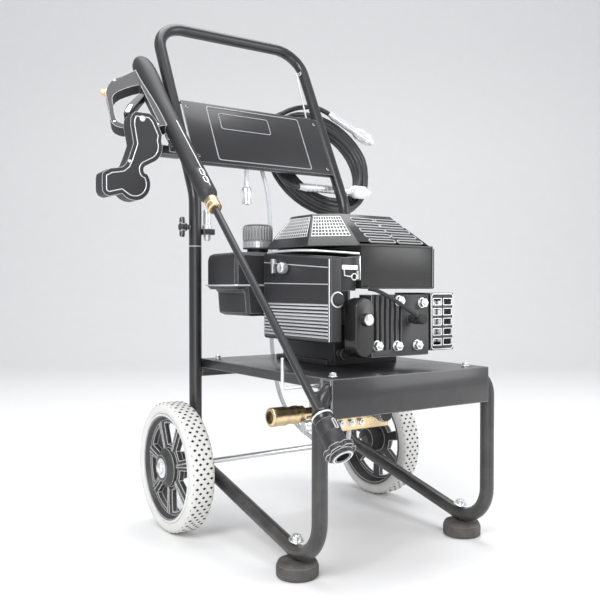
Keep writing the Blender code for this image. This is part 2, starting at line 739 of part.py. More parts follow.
def lance():
    """Collar nut, lance tube and the adjustable nozzle, one behind the other along the barrel's axis."""
    nut_end = 0.0265
    nut = ring_profile(LANCE_R + BORE_PLAY, 0.0130, GAP, nut_end, 0.0015)
    turned("lance_collar", nut, (0, 0, 0), (1, 0, 0), "brass", GUN, steps=16)
    start = GAP * 2
    rod("lance_tube", (start, 0, 0), (LANCE_END, 0, 0), LANCE_R, "black_powder_coat", GUN, sides=16)
    barrel_profile = [(0.0, LANCE_END + 0.060), (0.0100, LANCE_END + 0.060), (0.0100, LANCE_END + 0.019),
                      (0.0155, LANCE_END + 0.019), (0.0155, LANCE_END + 0.003), (0.0125, LANCE_END + GAP),
                      (0.0, LANCE_END + GAP)]
    turned("nozzle_barrel", barrel_profile, (0, 0, 0), (1, 0, 0), "gloss_black", GUN, steps=18)
    inside = 0.0100 + BORE_PLAY
    low = LANCE_END + 0.0195
    high = LANCE_END + 0.0800
    sleeve = [(inside, high), (0.0170, high), (0.0170, low + 0.002), (0.0155, low), (inside, low),
              (inside, high)]
    collar = solid(turned("nozzle_collar", sleeve, (0, 0, 0), (1, 0, 0), "black_plastic", GUN, steps=18))
    lobes = 6
    rim_frame = frame_empty("nozzle_rim_frame", (high - 0.011, 0, 0), (0, 1, 0), (0, 0, 1), GUN)
    outline = []
    for i in range(lobes):
        middle = 360 * i / lobes
        outline += arc(0, 0, 0.0235, middle - 18, middle + 18, 3)
        outline += arc(0, 0, 0.0195, middle + 24, middle + 36, 1)
    bore_ring = list(reversed(arc(0, 0, 0.0130, 0, 345, 23)))
    rim = solid(plate("nozzle_rim", [outline, bore_ring], 0.004, "", rim_frame, cutter=True))
    return combine(collar, rim, "UNION")


# ---- engine --------------------------------------------------------------------------------
DECK = TRAY_TOP + GAP


def engine_block():
    """Crankcase and finned cylinder in one casting, bored for the crankshaft."""
    case = solid(box("engine_block", (-0.045, -0.060, DECK), (0.105, 0.112, CASE_TOP), "cast_aluminium"))
    barrel = box("cylinder_body", (-0.020, HEAD_FRONT + 0.036, DECK + 0.024),
                 (0.098, -0.055, CASE_TOP + 0.045), "", cutter=True)
    combine(case, barrel, "UNION")
    flange = box("case_flange", (-0.055, -0.048, DECK), (0.115, 0.122, DECK + 0.010), "", cutter=True)
    combine(case, flange, "UNION")
    bore = rod("cylinder_bore", (BORE_X, HEAD_FRONT, BORE_Z), (BORE_X, BORE_END, BORE_Z),
               PISTON_R + BORE_PLAY, "",
               sides=28, cutter=True)
    combine(case, bore, "DIFFERENCE")
    for i in range(5):
        y = -0.108 + i * 0.0105
        slot = box(f"fin_gap_{i}", (-0.030, y, DECK + 0.030), (-0.006, y + 0.005, CASE_TOP + 0.060), "",
                   cutter=True)
        combine(case, slot, "DIFFERENCE")
    bore = rod("crank_bore", (CRANK_X, CRANK_Y, DECK - 0.02), (CRANK_X, CRANK_Y, CASE_TOP + 0.02),
               CRANK_R + BORE_PLAY, "", sides=20, cutter=True)
    return combine(case, bore, "DIFFERENCE")


def piston():
    """The piston, part of the way down its bore."""
    return rod("piston", (BORE_X, BORE_END - 0.034, BORE_Z), (BORE_X, BORE_END - 0.008, BORE_Z), PISTON_R,
               "bare_steel",
               sides=28)


def cylinder_head():
    """The finned head in front of the cylinder."""
    back = HEAD_FRONT + 0.036 - GAP
    head = solid(box("cylinder_head", (-0.032, HEAD_FRONT, DECK + 0.020), (0.103, back, 0.455),
                     "cast_aluminium"))
    for i in range(6):
        x = -0.026 + i * 0.0115
        slot = box(f"head_fin_gap_{i}", (x, HEAD_FRONT - 0.01, DECK + 0.032),
                   (x + 0.0055, HEAD_FRONT + 0.018, 0.470), "", cutter=True)
        combine(head, slot, "DIFFERENCE")
    return head


def rocker_cover():
    """The tall cover at the head's left side, with a bolt boss."""
    high = 0.450
    low = DECK + 0.022
    middle = (high + low) / 2
    half = (high - low) / 2
    seat = frame_empty("rocker_frame", (-0.056, HEAD_FRONT + 0.004, middle), (1, 0, 0), (0, 0, 1))
    width = 0.0205
    outline = arc(0, half - width, width, 0, 180, 8) + arc(0, width - half, width, 180, 360, 8)
    cover = solid(plate("rocker_cover", [outline], 0.016, "gloss_black", seat, bevel=0.003))
    boss = rod("rocker_boss", (-0.056, HEAD_FRONT, middle + 0.014),
               (-0.056, HEAD_FRONT - 0.022, middle + 0.014), 0.011, "",
               sides=20, cutter=True)
    return combine(cover, boss, "UNION")


def muffler():
    """The exhaust box and the slotted guard around it."""
    low = (0.108, -0.150, 0.352)
    high = (0.166, -0.050, 0.458)
    wall = 0.0018
    guard = solid(box("muffler_guard", low, high, "black_powder_coat"))
    hollow = box("guard_hollow", [a + wall for a in low], (high[0] - wall, high[1] + 0.01,
                                                           high[2] - wall), "", cutter=True)
    combine(guard, hollow, "DIFFERENCE")
    for row in range(5):
        z = low[2] + 0.010 + row * 0.0185
        for i, (x0, x1) in enumerate(((0.006, 0.026), (0.032, 0.052))):
            slot = box(f"guard_slot_{row}_{i}", (low[0] + x0, low[1] - 0.01, z),
                       (low[0] + x1, low[1] + 0.01, z + 0.011), "", cutter=True)
            combine(guard, slot, "DIFFERENCE")
    inset = 0.008
    box("muffler", [a + inset for a in low], (high[0] - inset, high[1], high[2] - inset), "bare_steel",
        bevel=0.006)
    return guard


def spark_plug():
    """The plug in the head's front with its boot, and the lead that runs to it."""
    at = (0.058, HEAD_FRONT - GAP, 0.412)
    profile = [(0.0, 0.036), (0.0085, 0.036), (0.0095, 0.034), (0.0095, 0.010), (0.0080, 0.008),
               (0.0080, 0.0), (0.0, 0.0)]
    turned("spark_plug", profile, at, (0, -1, 0), "rubber", steps=18)
    route = [(-0.034, -0.144, 0.4655), (-0.026, -0.158, 0.462), (0.002, -0.170, 0.446),
             (0.030, -0.177, 0.428),
             (0.0480, -0.1775, 0.4185)]
    return tube("plug_lead", smooth_route(route, 0.009), 0.0036, "rubber")


def carburettor():
    """The carburettor and its linkage box behind the louvred cover's front edge."""
    body = solid(box("carburettor", (-0.084, -0.128, 0.462), (-0.050, -0.075, 0.520), "cast_aluminium"))
    bowl = rod("float_bowl", (-0.067, -0.102, 0.436), (-0.067, -0.102, 0.470), 0.016, "", sides=20,
               cutter=True)
    return combine(body, bowl, "UNION")


COVER_BACK = 0.074
COVER_FRONT = -0.140
COVER_LOW = 0.372


def louvre_cover():
    """The louvred side cover, higher at its back, with a row of slots low down."""
    side = frame_empty("cover_frame", (COVER_X + COVER_T / 2, 0, 0), (0, -1, 0), (0, 0, 1))
    outline = [(-COVER_BACK, COVER_LOW), (-COVER_FRONT, COVER_LOW), (-COVER_FRONT, 0.520),
               (-COVER_BACK, 0.536)]
    cover = solid(plate("louvre_cover", [outline], COVER_T / 2, "black_plastic", side, bevel=0.004))
    for i in range(6):
        z = COVER_LOW + 0.007 + i * 0.0105
        slot = box(f"louvre_gap_{i}", (COVER_X - 0.01, COVER_FRONT + 0.006, z),
                   (COVER_X + 0.006, COVER_BACK - 0.006, z + 0.0045),
                   "", cutter=True)
        combine(cover, slot, "DIFFERENCE")
    return cover


def hood_shell(name, inset, drop, cutter):
    """The hood's outer form, or the hollow inside it, as a loft between a rim and a crown."""
    rim = [(-0.112, 0.070), (-0.112, -0.070), (-0.050, -0.138), (0.124, -0.138), (0.150, -0.060),
           (0.150, 0.100),
           (0.110, 0.135), (-0.045, 0.135), (-0.045, 0.070)]
    crown = [(-0.066, 0.050), (-0.066, -0.020), (-0.030, -0.056), (0.090, -0.056), (0.106, -0.020),
             (0.106, 0.084),
             (0.084, 0.104), (-0.026, 0.104), (-0.026, 0.050)]
    centre = Vector((0.030, 0.010))

    def pulled(point):
        way = centre - Vector(point)
        return Vector(point) + way.normalized() * inset

    def build(work):
        low = [work.verts.new((*pulled(p), HOOD_RIM_Z - drop)) for p in rim]
        high = [work.verts.new((*pulled(p), HOOD_TOP_Z - inset)) for p in crown]
        work.faces.new(low)
        work.faces.new(high)
        for i in range(len(low)):
            j = (i + 1) % len(low)
            work.faces.new((low[i], low[j], high[j], high[i]))

    return place(name, mesh_of(name, build), "gloss_black", cutter=cutter)


def engine_hood():
    """The top cover with its front and right skirt, open underneath."""
    hood = hood_shell("engine_hood", 0.0, 0.0, False)
    skirt = box("hood_skirt", (SKIRT_LEFT, SKIRT_FRONT, HOOD_SKIRT_Z),
                (SKIRT_RIGHT, SKIRT_BACK, HOOD_RIM_Z + 0.004), "", cutter=True)
    combine(hood, skirt, "UNION")
    hollow = hood_shell("hood_hollow", HOOD_WALL, -0.001, True)
    combine(hood, hollow, "DIFFERENCE")
    guide = rod("rope_hole", (ROPE_X, SKIRT_BACK - 0.01, ROPE_Z), (ROPE_X, SKIRT_BACK + 0.01, ROPE_Z),
                ROPE_R + 0.0010, "", sides=12,
                cutter=True)
    inner = box("skirt_hollow", (SKIRT_LEFT + HOOD_WALL, SKIRT_FRONT + HOOD_WALL, HOOD_SKIRT_Z - 0.01),
                (SKIRT_RIGHT - HOOD_WALL, SKIRT_BACK - HOOD_WALL, HOOD_RIM_Z + 0.008), "", cutter=True)
    combine(hood, inner, "DIFFERENCE")
    return combine(hood, guide, "DIFFERENCE")


def rotating_group():
    """Crankshaft, flywheel and the pump's slanted drive plate."""
    rod("crankshaft", (CRANK_X, CRANK_Y, PUMP_FLOOR + 0.012), (CRANK_X, CRANK_Y, 0.530), CRANK_R,
        "bare_steel", sides=20)
    low = HOOD_SKIRT_Z + 0.016
    profile = [(CRANK_R + GAP, low + 0.030), (0.030, low + 0.030), (0.034, low + 0.018),
               (FLYWHEEL_R - 0.010, low + 0.016),
               (FLYWHEEL_R - 0.006, low + 0.034), (FLYWHEEL_R, low + 0.034), (FLYWHEEL_R,
                                                                              low), (CRANK_R + GAP, low),
               (CRANK_R + GAP, low + 0.030)]
    turned("flywheel", profile, (CRANK_X, CRANK_Y, 0), (0, 0, 1), "cast_aluminium", steps=24)
    plate_low = 0.262
    disc = solid(turned("swash_plate", ring_profile(CRANK_R + GAP, PUMP_R - 0.010, plate_low,
                                                    plate_low + 0.018),
                        (CRANK_X, CRANK_Y, 0), (0, 0, 1), "bare_steel", steps=20))
    wedge = box("swash_cut", (-0.06, -0.06, -0.020), (0.06, 0.06, 0.0), "", cutter=True)
    wedge.location = (CRANK_X, CRANK_Y, plate_low - 0.004)
    wedge.rotation_euler = (math.radians(8), 0, 0)
    return combine(disc, wedge, "DIFFERENCE")


def fuel_tank():
    """The moulded tank at the left rear, stepped underneath, with its filler neck."""
    front = 0.079
    back = 0.196
    seat = frame_empty("tank_frame", (0, (front + back) / 2, 0), (1, 0, 0), (0, 0, 1))
    outline = [(-0.172, TANK_STEP), (-0.172, TANK_TOP - 0.008), (-0.164, TANK_TOP), (-0.060, TANK_TOP),
               (-0.060, TANK_FLOOR), (-0.140, TANK_FLOOR), (-0.146, TANK_FLOOR + 0.006), (-0.150,
                                                                                          TANK_STEP)]
    tank = solid(plate("fuel_tank", [outline], (back - front) / 2, "black_plastic", seat, bevel=0.006))
    neck = rod("filler_neck", (CAP_X, CAP_Y, TANK_TOP - 0.01), (CAP_X, CAP_Y, 0.562), 0.021, "",
               cutter=True)
    return combine(tank, neck, "UNION")


def fuel_cap():
    """The ribbed screw cap over the filler neck."""
    low = 0.5440
    seat = 0.562 + GAP
    profile = [(0.0, 0.592), (CAP_R - 0.003, 0.592), (CAP_R, 0.589), (CAP_R, low), (0.021 + BORE_PLAY, low),
               (0.021 + BORE_PLAY, seat), (0.0, seat)]
    return turned("fuel_cap", profile, (CAP_X, CAP_Y, 0), (0, 0, 1), "black_plastic", steps=24)


def controls():
    """Choke knob, fuel valve lever, primer bulb, oil plug and starter grip."""
    face = COVER_X - GAP
    knob = [(0.0, 0.016), (0.008, 0.016), (0.010, 0.013), (0.010, 0.003), (0.006, 0.0), (0.0, 0.0)]
    turned("choke_knob", knob, (face, -0.008, 0.503), (-1, 0, 0), "zinc_steel", steps=16)
    valve_frame = frame_empty("valve_pivot", (face - 0.004, 0.030, 0.514), (0, 1, 0), (0, 0, 1))
    outline = arc(0, 0, 0.007, -60, 240, 8) + [(-0.0035, -0.020), (0.0035, -0.020)]
    plate("fuel_valve", [outline], 0.004, "zinc_steel", valve_frame)
    bulb = [(0.0, 0.012), (0.007, 0.011), (0.011, 0.008), (0.0135, 0.004), (0.0135, 0.0), (0.0, 0.0)]
    turned("primer_bulb", bulb, (-0.100, COVER_FRONT - GAP, 0.447), (0, -1, 0), "rubber", steps=20)
    plug = [(0.0, 0.018), (0.008, 0.018), (0.010, 0.016), (0.010, 0.007), (0.007, 0.006), (0.007, GAP),
            (0.0, GAP)]
    turned("oil_plug", plug, (-0.034, -0.060, DECK + 0.022), (0, -1, 0), "black_plastic", steps=16)
    grip_y = SKIRT_BACK + 0.012
    grip = solid(rod("starter_grip", (ROPE_X - 0.026, grip_y, ROPE_Z), (ROPE_X + 0.026, grip_y, ROPE_Z),
                     0.010, "black_plastic",
                     sides=16))
    rope = rod("starter_rope", (ROPE_X, SKIRT_BACK - ROPE_DRAW, ROPE_Z), (ROPE_X, grip_y, ROPE_Z), ROPE_R,
               "", sides=12, cutter=True)
    return combine(grip, rope, "UNION")


# ---- pump ----------------------------------------------------------------------------------


def pump_housing():
    """Flanged pump body under the tray, hollow for the drive plate."""
    top = TRAY_TOP - SHEET - GAP
    bore = CRANK_R + BORE_PLAY
    profile = [(bore, top), (PUMP_FLANGE_R, top), (PUMP_FLANGE_R, top - 0.012), (PUMP_R, top - 0.016),
               (PUMP_R, PUMP_FLOOR),
               (bore + 0.004, PUMP_FLOOR), (bore + 0.004, PUMP_FLOOR + 0.006), (PUMP_R - 0.007,
                                                                                PUMP_FLOOR + 0.010),
               (PUMP_R - 0.007, top - 0.020), (bore, top - 0.020), (bore, top)]
    return turned("pump_housing", profile, (CRANK_X, CRANK_Y, 0), (0, 0, 1), "cast_aluminium", steps=24)


def pump_head():
    """The brass manifold in front of the pump body, with the fixed inlet and its bolts' lugs."""
    front = -0.098
    back = CRANK_Y - PUMP_R - GAP
    head = solid(box("pump_head", (-0.078, front, HEAD_LOW), (0.052, back, HEAD_HIGH), "brass"))
    stub = rod("inlet_stub", (-0.070, INLET_Y, INLET_Z), (-0.143, INLET_Y, INLET_Z), 0.0105, "", sides=20,
               cutter=True)
    return combine(head, stub, "UNION")


def pump_fittings():
    """Garden-hose swivel, high-pressure outlet and unloader knob."""
    swivel = [(0.0110 + BORE_PLAY, 0.078), (0.0145, 0.078), (0.0165, 0.076), (0.0165, 0.040),
              (0.0150, 0.038),
              (0.0150, 0.010), (0.0110 + BORE_PLAY, 0.010), (0.0110 + BORE_PLAY, 0.078)]
    turned("inlet_swivel", swivel, (-0.110, INLET_Y, INLET_Z), (-1, 0, 0), "brass", steps=18)
    outlet = [(0.0, 0.052), (0.0085, 0.052), (0.0100, 0.050), (0.0100, 0.026), (0.0130, 0.024),
              (0.0130, GAP), (0.0, GAP)]
    turned("outlet_fitting", outlet, (-0.078, -0.084, 0.2265), (-1, 0, 0), "zinc_steel", steps=16)
    knob = [(0.0, 0.034), (0.0120, 0.034), (0.0145, 0.031), (0.0145, 0.012), (0.0100, 0.010),
            (0.0100, GAP), (0.0, GAP)]
    return turned("unloader_knob", knob, (0.020, -0.098, 0.240), (0, -1, 0), "black_plastic", steps=16)


# ---- hoses ---------------------------------------------------------------------------------
def coiled_hose():
    """The wound high-pressure hose as one ring, and its two ends with their couplings."""
    profile = ring_profile(COIL_R - COIL_HALF, COIL_R + COIL_HALF, -COIL_HALF, COIL_HALF, 0.006)
    turned("hose_coil", profile, raked(COIL_X, COIL_BACK, COIL_ALONG),
           (0, math.cos(RAKE), -math.sin(RAKE)), "rubber", steps=28)
    front = COIL_BACK - COIL_HALF
    sleeve_lie = front - SLEEVE_R - 0.0015
    coupling_lie = front - COUPLING_R - 0.0035
    ends = (("hose_end_upper", (0.258, 0.290), (0.362, 0.210)),
            ("hose_end_lower", (0.100, 0.064), (0.294, 0.058)))
    for name, start, end in ends:
        first = Vector(raked(start[0], sleeve_lie, start[1]))
        run = Vector(raked(end[0], coupling_lie, end[1])) - first
        long = run.length
        nut = long - 0.050
        shape = [(0.0, long), (COUPLING_R - 0.004, long), (COUPLING_R, long - 0.003),
                 (COUPLING_R, nut + 0.004),
                 (SLEEVE_R, nut), (SLEEVE_R, 0.014), (0.0070, 0.0), (0.0, 0.0)]
        turned(name, shape, first, run, "zinc_steel", steps=18)


SIPHON_ROUTE = [
    (0.0040, -0.0400, 0.2117), (0.0040, -0.0400, 0.1930), (0.0044, -0.0320, 0.1720), (0.0052, -0.0080,
                                                                                      0.1580),
    (0.0062, 0.0600, 0.1600), (0.0080, 0.1450, 0.1860), (0.0092, 0.2080, 0.2400), (0.0100, 0.2400, 0.3400),
    (0.0100, 0.2455, 0.4800), (0.0100, 0.2490, 0.6200), (0.0060, 0.2620, 0.7000), (-0.0040, 0.2960, 0.7700),
    (-0.0230, 0.3100, 0.7970), (-0.0400, 0.2920, 0.7800), (-0.0448, 0.2640, 0.7500), (-0.0450, 0.2560,
                                                                                      0.7230),
    (-0.0450, 0.2560, 0.6950),
]


def siphon():
    """The detergent hose from the pump, up behind the engine and over the panel, and its strainer."""
    tube("siphon_hose", smooth_route(SIPHON_ROUTE, 0.0165), 0.0045, "clear_hose")
    end = Vector(SIPHON_ROUTE[-1])
    way = (0, 0, -1)
    profile = [(0.0, 0.050), (0.0095, 0.050), (0.0110, 0.048), (0.0110, 0.014), (0.0095, 0.012),
               (0.0055, 0.010),
               (0.0055, GAP), (0.0, GAP)]
    return turned("siphon_strainer", profile, end, way, "zinc_steel", steps=16)


def build():
    """Makes every piece of the machine."""
    for side, word in ((-1, "left"), (1, "right")):
        side_tube(f"{word}_side_tube", side)
        foot(f"{word}_foot", side)
        wheel(side, word)
        clamp_knob(f"{word}_clamp_knob", side)
    engine_tray()
    lance_hook()
    axle()
    handle_tube()
    billboard_panel()
    hose_hanger()
    guide_wire()
    spare_nozzle()
    gun_shell()
    gun_inlet()
    gun_holster()
    trigger()
    trigger_lock()
    lance()
    engine_block()
    piston()
    cylinder_head()
    rocker_cover()
    muffler()
    spark_plug()
    carburettor()
    louvre_cover()
    engine_hood()
    rotating_group()
    fuel_tank()
    fuel_cap()
    controls()
    pump_housing()
    pump_head()
    pump_fittings()
    coiled_hose()
    siphon()


build()
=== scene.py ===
import math

import bmesh
import bpy
from bpy.props import FloatProperty, FloatVectorProperty, IntProperty, PointerProperty
from mathutils import Matrix, Vector


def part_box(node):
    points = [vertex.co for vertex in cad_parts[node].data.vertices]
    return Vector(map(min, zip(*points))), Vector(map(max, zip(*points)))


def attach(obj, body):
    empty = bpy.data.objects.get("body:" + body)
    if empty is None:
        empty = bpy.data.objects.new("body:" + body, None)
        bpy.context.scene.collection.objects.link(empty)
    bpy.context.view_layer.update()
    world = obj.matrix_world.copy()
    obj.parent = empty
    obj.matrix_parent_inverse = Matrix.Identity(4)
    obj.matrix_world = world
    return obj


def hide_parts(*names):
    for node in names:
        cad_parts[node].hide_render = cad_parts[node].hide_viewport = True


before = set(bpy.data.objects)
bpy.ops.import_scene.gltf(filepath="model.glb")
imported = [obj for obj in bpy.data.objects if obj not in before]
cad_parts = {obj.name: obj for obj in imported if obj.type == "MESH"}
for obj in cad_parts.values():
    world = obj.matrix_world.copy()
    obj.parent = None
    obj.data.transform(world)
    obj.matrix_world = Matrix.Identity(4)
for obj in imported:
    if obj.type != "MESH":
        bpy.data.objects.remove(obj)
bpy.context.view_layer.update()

bl_info = {
    "name": "Pressure washer looks",
    "version": (1, 0, 0),
    "blender": (4, 5, 0),
    "location": "View3D > Sidebar > Washer",
    "description": "Builds the finished surfaces of a wheeled petrol pressure washer round its frame",
    "category": "Object",
}

# ---- places taken from the frame ------------------------------------------------------------
LEFT_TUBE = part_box("left_side_tube")
RIGHT_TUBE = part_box("right_side_tube")
ORIGIN = Vector(((LEFT_TUBE[0].x + RIGHT_TUBE[1].x) / 2, (LEFT_TUBE[0].y + LEFT_TUBE[1].y) / 2, 0.0))
TUBE_R = 0.0127
HALF_TRACK = (RIGHT_TUBE[1].x - LEFT_TUBE[0].x) / 2 - TUBE_R
HALF_BASE = (LEFT_TUBE[1].y - LEFT_TUBE[0].y) / 2 - TUBE_R
RAKE = math.radians(26.2)
RAKE_Z = 0.652
LANCE_PITCH = math.radians(45.2)
GUN_ROLL = math.radians(20.0)


def at(x, y, z):
    """A point given from the middle of the frame's tubes, in the shared frame."""
    return ORIGIN + Vector((x, y, z))


def raked(x, back, along):
    """A point in the leaning part of the handle: across, behind its plane, and up along it."""
    return at(x, HALF_BASE + back * math.cos(RAKE) + along * math.sin(RAKE),
              RAKE_Z - back * math.sin(RAKE) + along * math.cos(RAKE))


def axes(origin, x_axis, y_axis):
    """A matrix whose axes are the ones given."""
    x = Vector(x_axis).normalized()
    z = x.cross(Vector(y_axis)).normalized()
    turn = Matrix((x, z.cross(x), z)).transposed().to_4x4()
    return Matrix.Translation(Vector(origin)) @ turn


def facing(origin, axis):
    """A matrix whose Z axis points along the one given."""
    return Matrix.Translation(Vector(origin)) @ Vector(axis).to_track_quat("Z", "Y").to_matrix().to_4x4()


FORWARD = Vector((0.0, -math.cos(LANCE_PITCH), -math.sin(LANCE_PITCH)))
UNDER = Vector((0.0, math.sin(LANCE_PITCH), -math.cos(LANCE_PITCH)))
GRIP_WAY = Vector((-1.0, 0.0, 0.0)) * math.cos(GUN_ROLL) + UNDER * math.sin(GUN_ROLL)
LANCE_X = -0.232
GUN = axes(at(LANCE_X, 0.065, 0.627), FORWARD, GRIP_WAY)
PANEL_UP = Vector((0.0, math.sin(RAKE), math.cos(RAKE)))
PANEL_BACK = Vector((0.0, math.cos(RAKE), -math.sin(RAKE)))


# ---- settings -------------------------------------------------------------------------------
def length(name, description, default):
    """A size in metres that a user may change."""
    return FloatProperty(name=name, description=description, default=default, min=0.0, unit="LENGTH")


def colour(name, description, default):
    """A colour that a user may change."""
    return FloatVectorProperty(name=name, description=description, default=default, size=3, min=0.0,
                               max=1.0,
                               subtype="COLOR")


class WasherColours(bpy.types.PropertyGroup):
    """The base colours of the finishes"""
    coat: colour("Powder coat", "Colour of the tubes and sheets", (0.016, 0.016, 0.018))
    plastic: colour("Moulded plastic", "Colour of the gun, tank and covers", (0.022, 0.022, 0.024))
    # Painted highlight: the colour that the edges of the dark finishes are mixed towards, standing for the
    # light they catch.
    highlight: colour("Edge highlight", "Colour that rubbed edges take", (0.72, 0.72, 0.73))
    tyre: colour("Tyre", "Colour of the tread and walls", (0.70, 0.70, 0.68))
    rim: colour("Wheel", "Colour of the moulded wheels", (0.030, 0.030, 0.032))
    brass: colour("Brass", "Colour of the brass fittings", (0.78, 0.62, 0.36))
    zinc: colour("Zinc", "Colour of plated steel", (0.78, 0.79, 0.81))


class WasherSizes(bpy.types.PropertyGroup):
    """Sizes of the details that the frame leaves open"""
    bolt: length("Head bolt", "Width of a cylinder head bolt", 0.017)
    hose: length("Pressure hose", "Outer diameter of the wound hose", 0.0118)
    pitch: length("Hose pitch", "Distance between neighbouring turns", 0.0120)
    siphon: length("Detergent hose", "Outer diameter of the clear hose", 0.0090)
    louvre: length("Louvre", "Height from one louvre to the next", 0.0062)
    tread_columns: IntProperty(name="Tread columns", description="Rows of pits across each tyre", default=5,
                               min=1)
    tread_count: IntProperty(name="Tread pits", description="Pits round each tyre in a row", default=44,
                             min=6)


# ---- shapes: each returns an object in the shared frame ---------------------------------------
def placed(name, data, matrix):
    """Links new data into the scene at a matrix."""
    obj = bpy.data.objects.new(name, data)
    bpy.context.scene.collection.objects.link(obj)
    obj.matrix_world = matrix
    return obj


def meshed(name, build, matrix=Matrix.Identity(4)):
    """An object from a function that fills a bmesh."""
    work = bmesh.new()
    build(work)
    bmesh.ops.recalc_face_normals(work, faces=work.faces)
    mesh = bpy.data.meshes.new(name)
    work.to_mesh(mesh)
    work.free()
    return placed(name, mesh, matrix)


def block(low, high, matrix=None):
    """A box between two corners, in the machine's or another frame."""
    low = Vector(low)
    size = Vector(high) - low
    base = Matrix.Translation(ORIGIN) if matrix is None else matrix

    def build(work):
        bmesh.ops.create_cube(work, size=1.0)
        bmesh.ops.scale(work, vec=size, verts=work.verts)
        bmesh.ops.translate(work, vec=low + size / 2, verts=work.verts)

    return meshed("block", build, base)


def turned(profile, matrix, steps=56):
    """A turned solid. The profile holds (radius, distance along Z), far end first."""

    def build(work):
        rings = []
        for radius, height in profile:
            if radius < 1e-7:
                rings.append([work.verts.new((0.0, 0.0, height))])
                continue
            rings.append([work.verts.new((radius * math.cos(a), radius * math.sin(a), height))
                          for a in (2 * math.pi * i / steps for i in range(steps))])
        for upper, lower in zip(rings, rings[1:]):
            for i in range(steps):
                j = (i + 1) % steps
                if len(upper) == 1 and len(lower) == 1:
                    continue
                if len(upper) == 1:
                    work.faces.new((upper[0], lower[i], lower[j]))
                elif len(lower) == 1:
                    work.faces.new((upper[i], lower[0], upper[j]))
                else:
                    work.faces.new((upper[i], lower[i], lower[j], upper[j]))
        bmesh.ops.remove_doubles(work, verts=work.verts, dist=1e-6)

    return meshed("turned", build, matrix)


def rod(start, end, radius, sides=32):
    """A cylinder between two points of the shared frame."""
    run = Vector(end) - Vector(start)
    return turned([(0.0, run.length), (radius, run.length), (radius, 0.0), (0.0, 0.0)], facing(start, run),
                  sides)


def plain(obj):
    """Turns an object with modifiers, or a curve, into a plain mesh whose object stands at the origin."""
    bpy.context.view_layer.update()
    graph = bpy.context.evaluated_depsgraph_get()
    mesh = bpy.data.meshes.new_from_object(obj.evaluated_get(graph), depsgraph=graph)
    mesh.transform(obj.matrix_world)
    if obj.matrix_world.determinant() < 0:
        mesh.flip_normals()
    name = obj.name
    bpy.data.objects.remove(obj, do_unlink=True)
    return placed(name, mesh, Matrix.Identity(4))


def plate(outlines, half, matrix):
    """A flat piece from closed outlines, inner ones being holes."""
    curve = bpy.data.curves.new("plate", "CURVE")
    curve.dimensions = "2D"
    curve.fill_mode = "BOTH"
    curve.extrude = half
    for outline in outlines:
        spline = curve.splines.new("POLY")
        spline.points.add(len(outline) - 1)
        for point, (x, y) in zip(spline.points, outline):
            point.co = (x, y, 0.0, 1.0)
        spline.use_cyclic_u = True
    return plain(placed("plate", curve, matrix))


def curve_through(name, points, radius, sides=5, closed=False):
    """A round curve object along points of the shared frame."""
    curve = bpy.data.curves.new(name, "CURVE")
    curve.dimensions = "3D"
    curve.bevel_depth = radius
    curve.bevel_resolution = sides
    curve.use_fill_caps = not closed
    spline = curve.splines.new("POLY")
    spline.points.add(len(points) - 1)
    for point, place in zip(spline.points, points):
        point.co = (*place, 1.0)
    spline.use_cyclic_u = closed
    return placed(name, curve, Matrix.Identity(4))


def wire(points, radius, sides=5, closed=False):
    """A round wire or pipe along points, as a mesh."""
    return plain(curve_through("wire", points, radius, sides, closed))


def filleted(corners, radii, step=math.radians(6)):
    """The corner points of a bent bar, each inner one replaced by an arc of its radius."""
    corners = [Vector(c) for c in corners]
    path = [corners[0]]
    for before, corner, after, radius in zip(corners, corners[1:], corners[2:], radii):
        incoming = (before - corner).normalized()
        outgoing = (after - corner).normalized()
        half = incoming.angle(outgoing) / 2
        centre = corner + (incoming + outgoing).normalized() * radius / math.sin(half)
        first = corner + incoming * radius / math.tan(half) - centre
        last = corner + outgoing * radius / math.tan(half) - centre
        turn = first.angle(last)
        count = max(2, round(turn / step))
        for i in range(count + 1):
            share = i / count
            swung = first * math.sin((1 - share) * turn) + last * math.sin(share * turn)
            path.append(centre + swung / math.sin(turn))
    path.append(corners[-1])
    return path


def arc(cx, cy, radius, start, end, count):
    """Points on a round stretch of an outline, angles in degrees."""
    angles = [math.radians(start + (end - start) * i / count) for i in range(count + 1)]
    return [(cx + radius * math.cos(a), cy + radius * math.sin(a)) for a in angles]


def rounded_frame(half_x, half_y, radius, count=6):
    """The outline of a rectangle with round corners."""
    outline = []
    for sx, sy, start in ((1, 1, 0), (-1, 1, 90), (-1, -1, 180), (1, -1, 270)):
        outline += arc(sx * (half_x - radius), sy * (half_y - radius), radius, start, start + 90, count)
    return outline


def smooth_route(points, spacing):
    """Points at an even spacing on one smooth curve through a route's own points."""
    points = [Vector(p) for p in points]
    padded = [points[0] * 2 - points[1], *points, points[-1] * 2 - points[-2]]
    fine = []
    for p0, p1, p2, p3 in zip(padded, padded[1:], padded[2:], padded[3:]):
        for i in range(24):
            t = i / 24
            fine.append(0.5 * (2 * p1 + (p2 - p0) * t + (2 * p0 - 5 * p1 + 4 * p2 - p3) * t**2
                               + (3 * p1 - p0 - 3 * p2 + p3) * t**3))
    fine.append(points[-1])
    total = sum((b - a).length for a, b in zip(fine, fine[1:]))
    count = max(2, round(total / spacing))
    route = [fine[0]]
    walked = 0.0
    for a, b in zip(fine, fine[1:]):
        walked += (b - a).length
        if walked >= len(route) * total / count and len(route) < count:
            route.append(b)
    route.append(fine[-1])
    return route


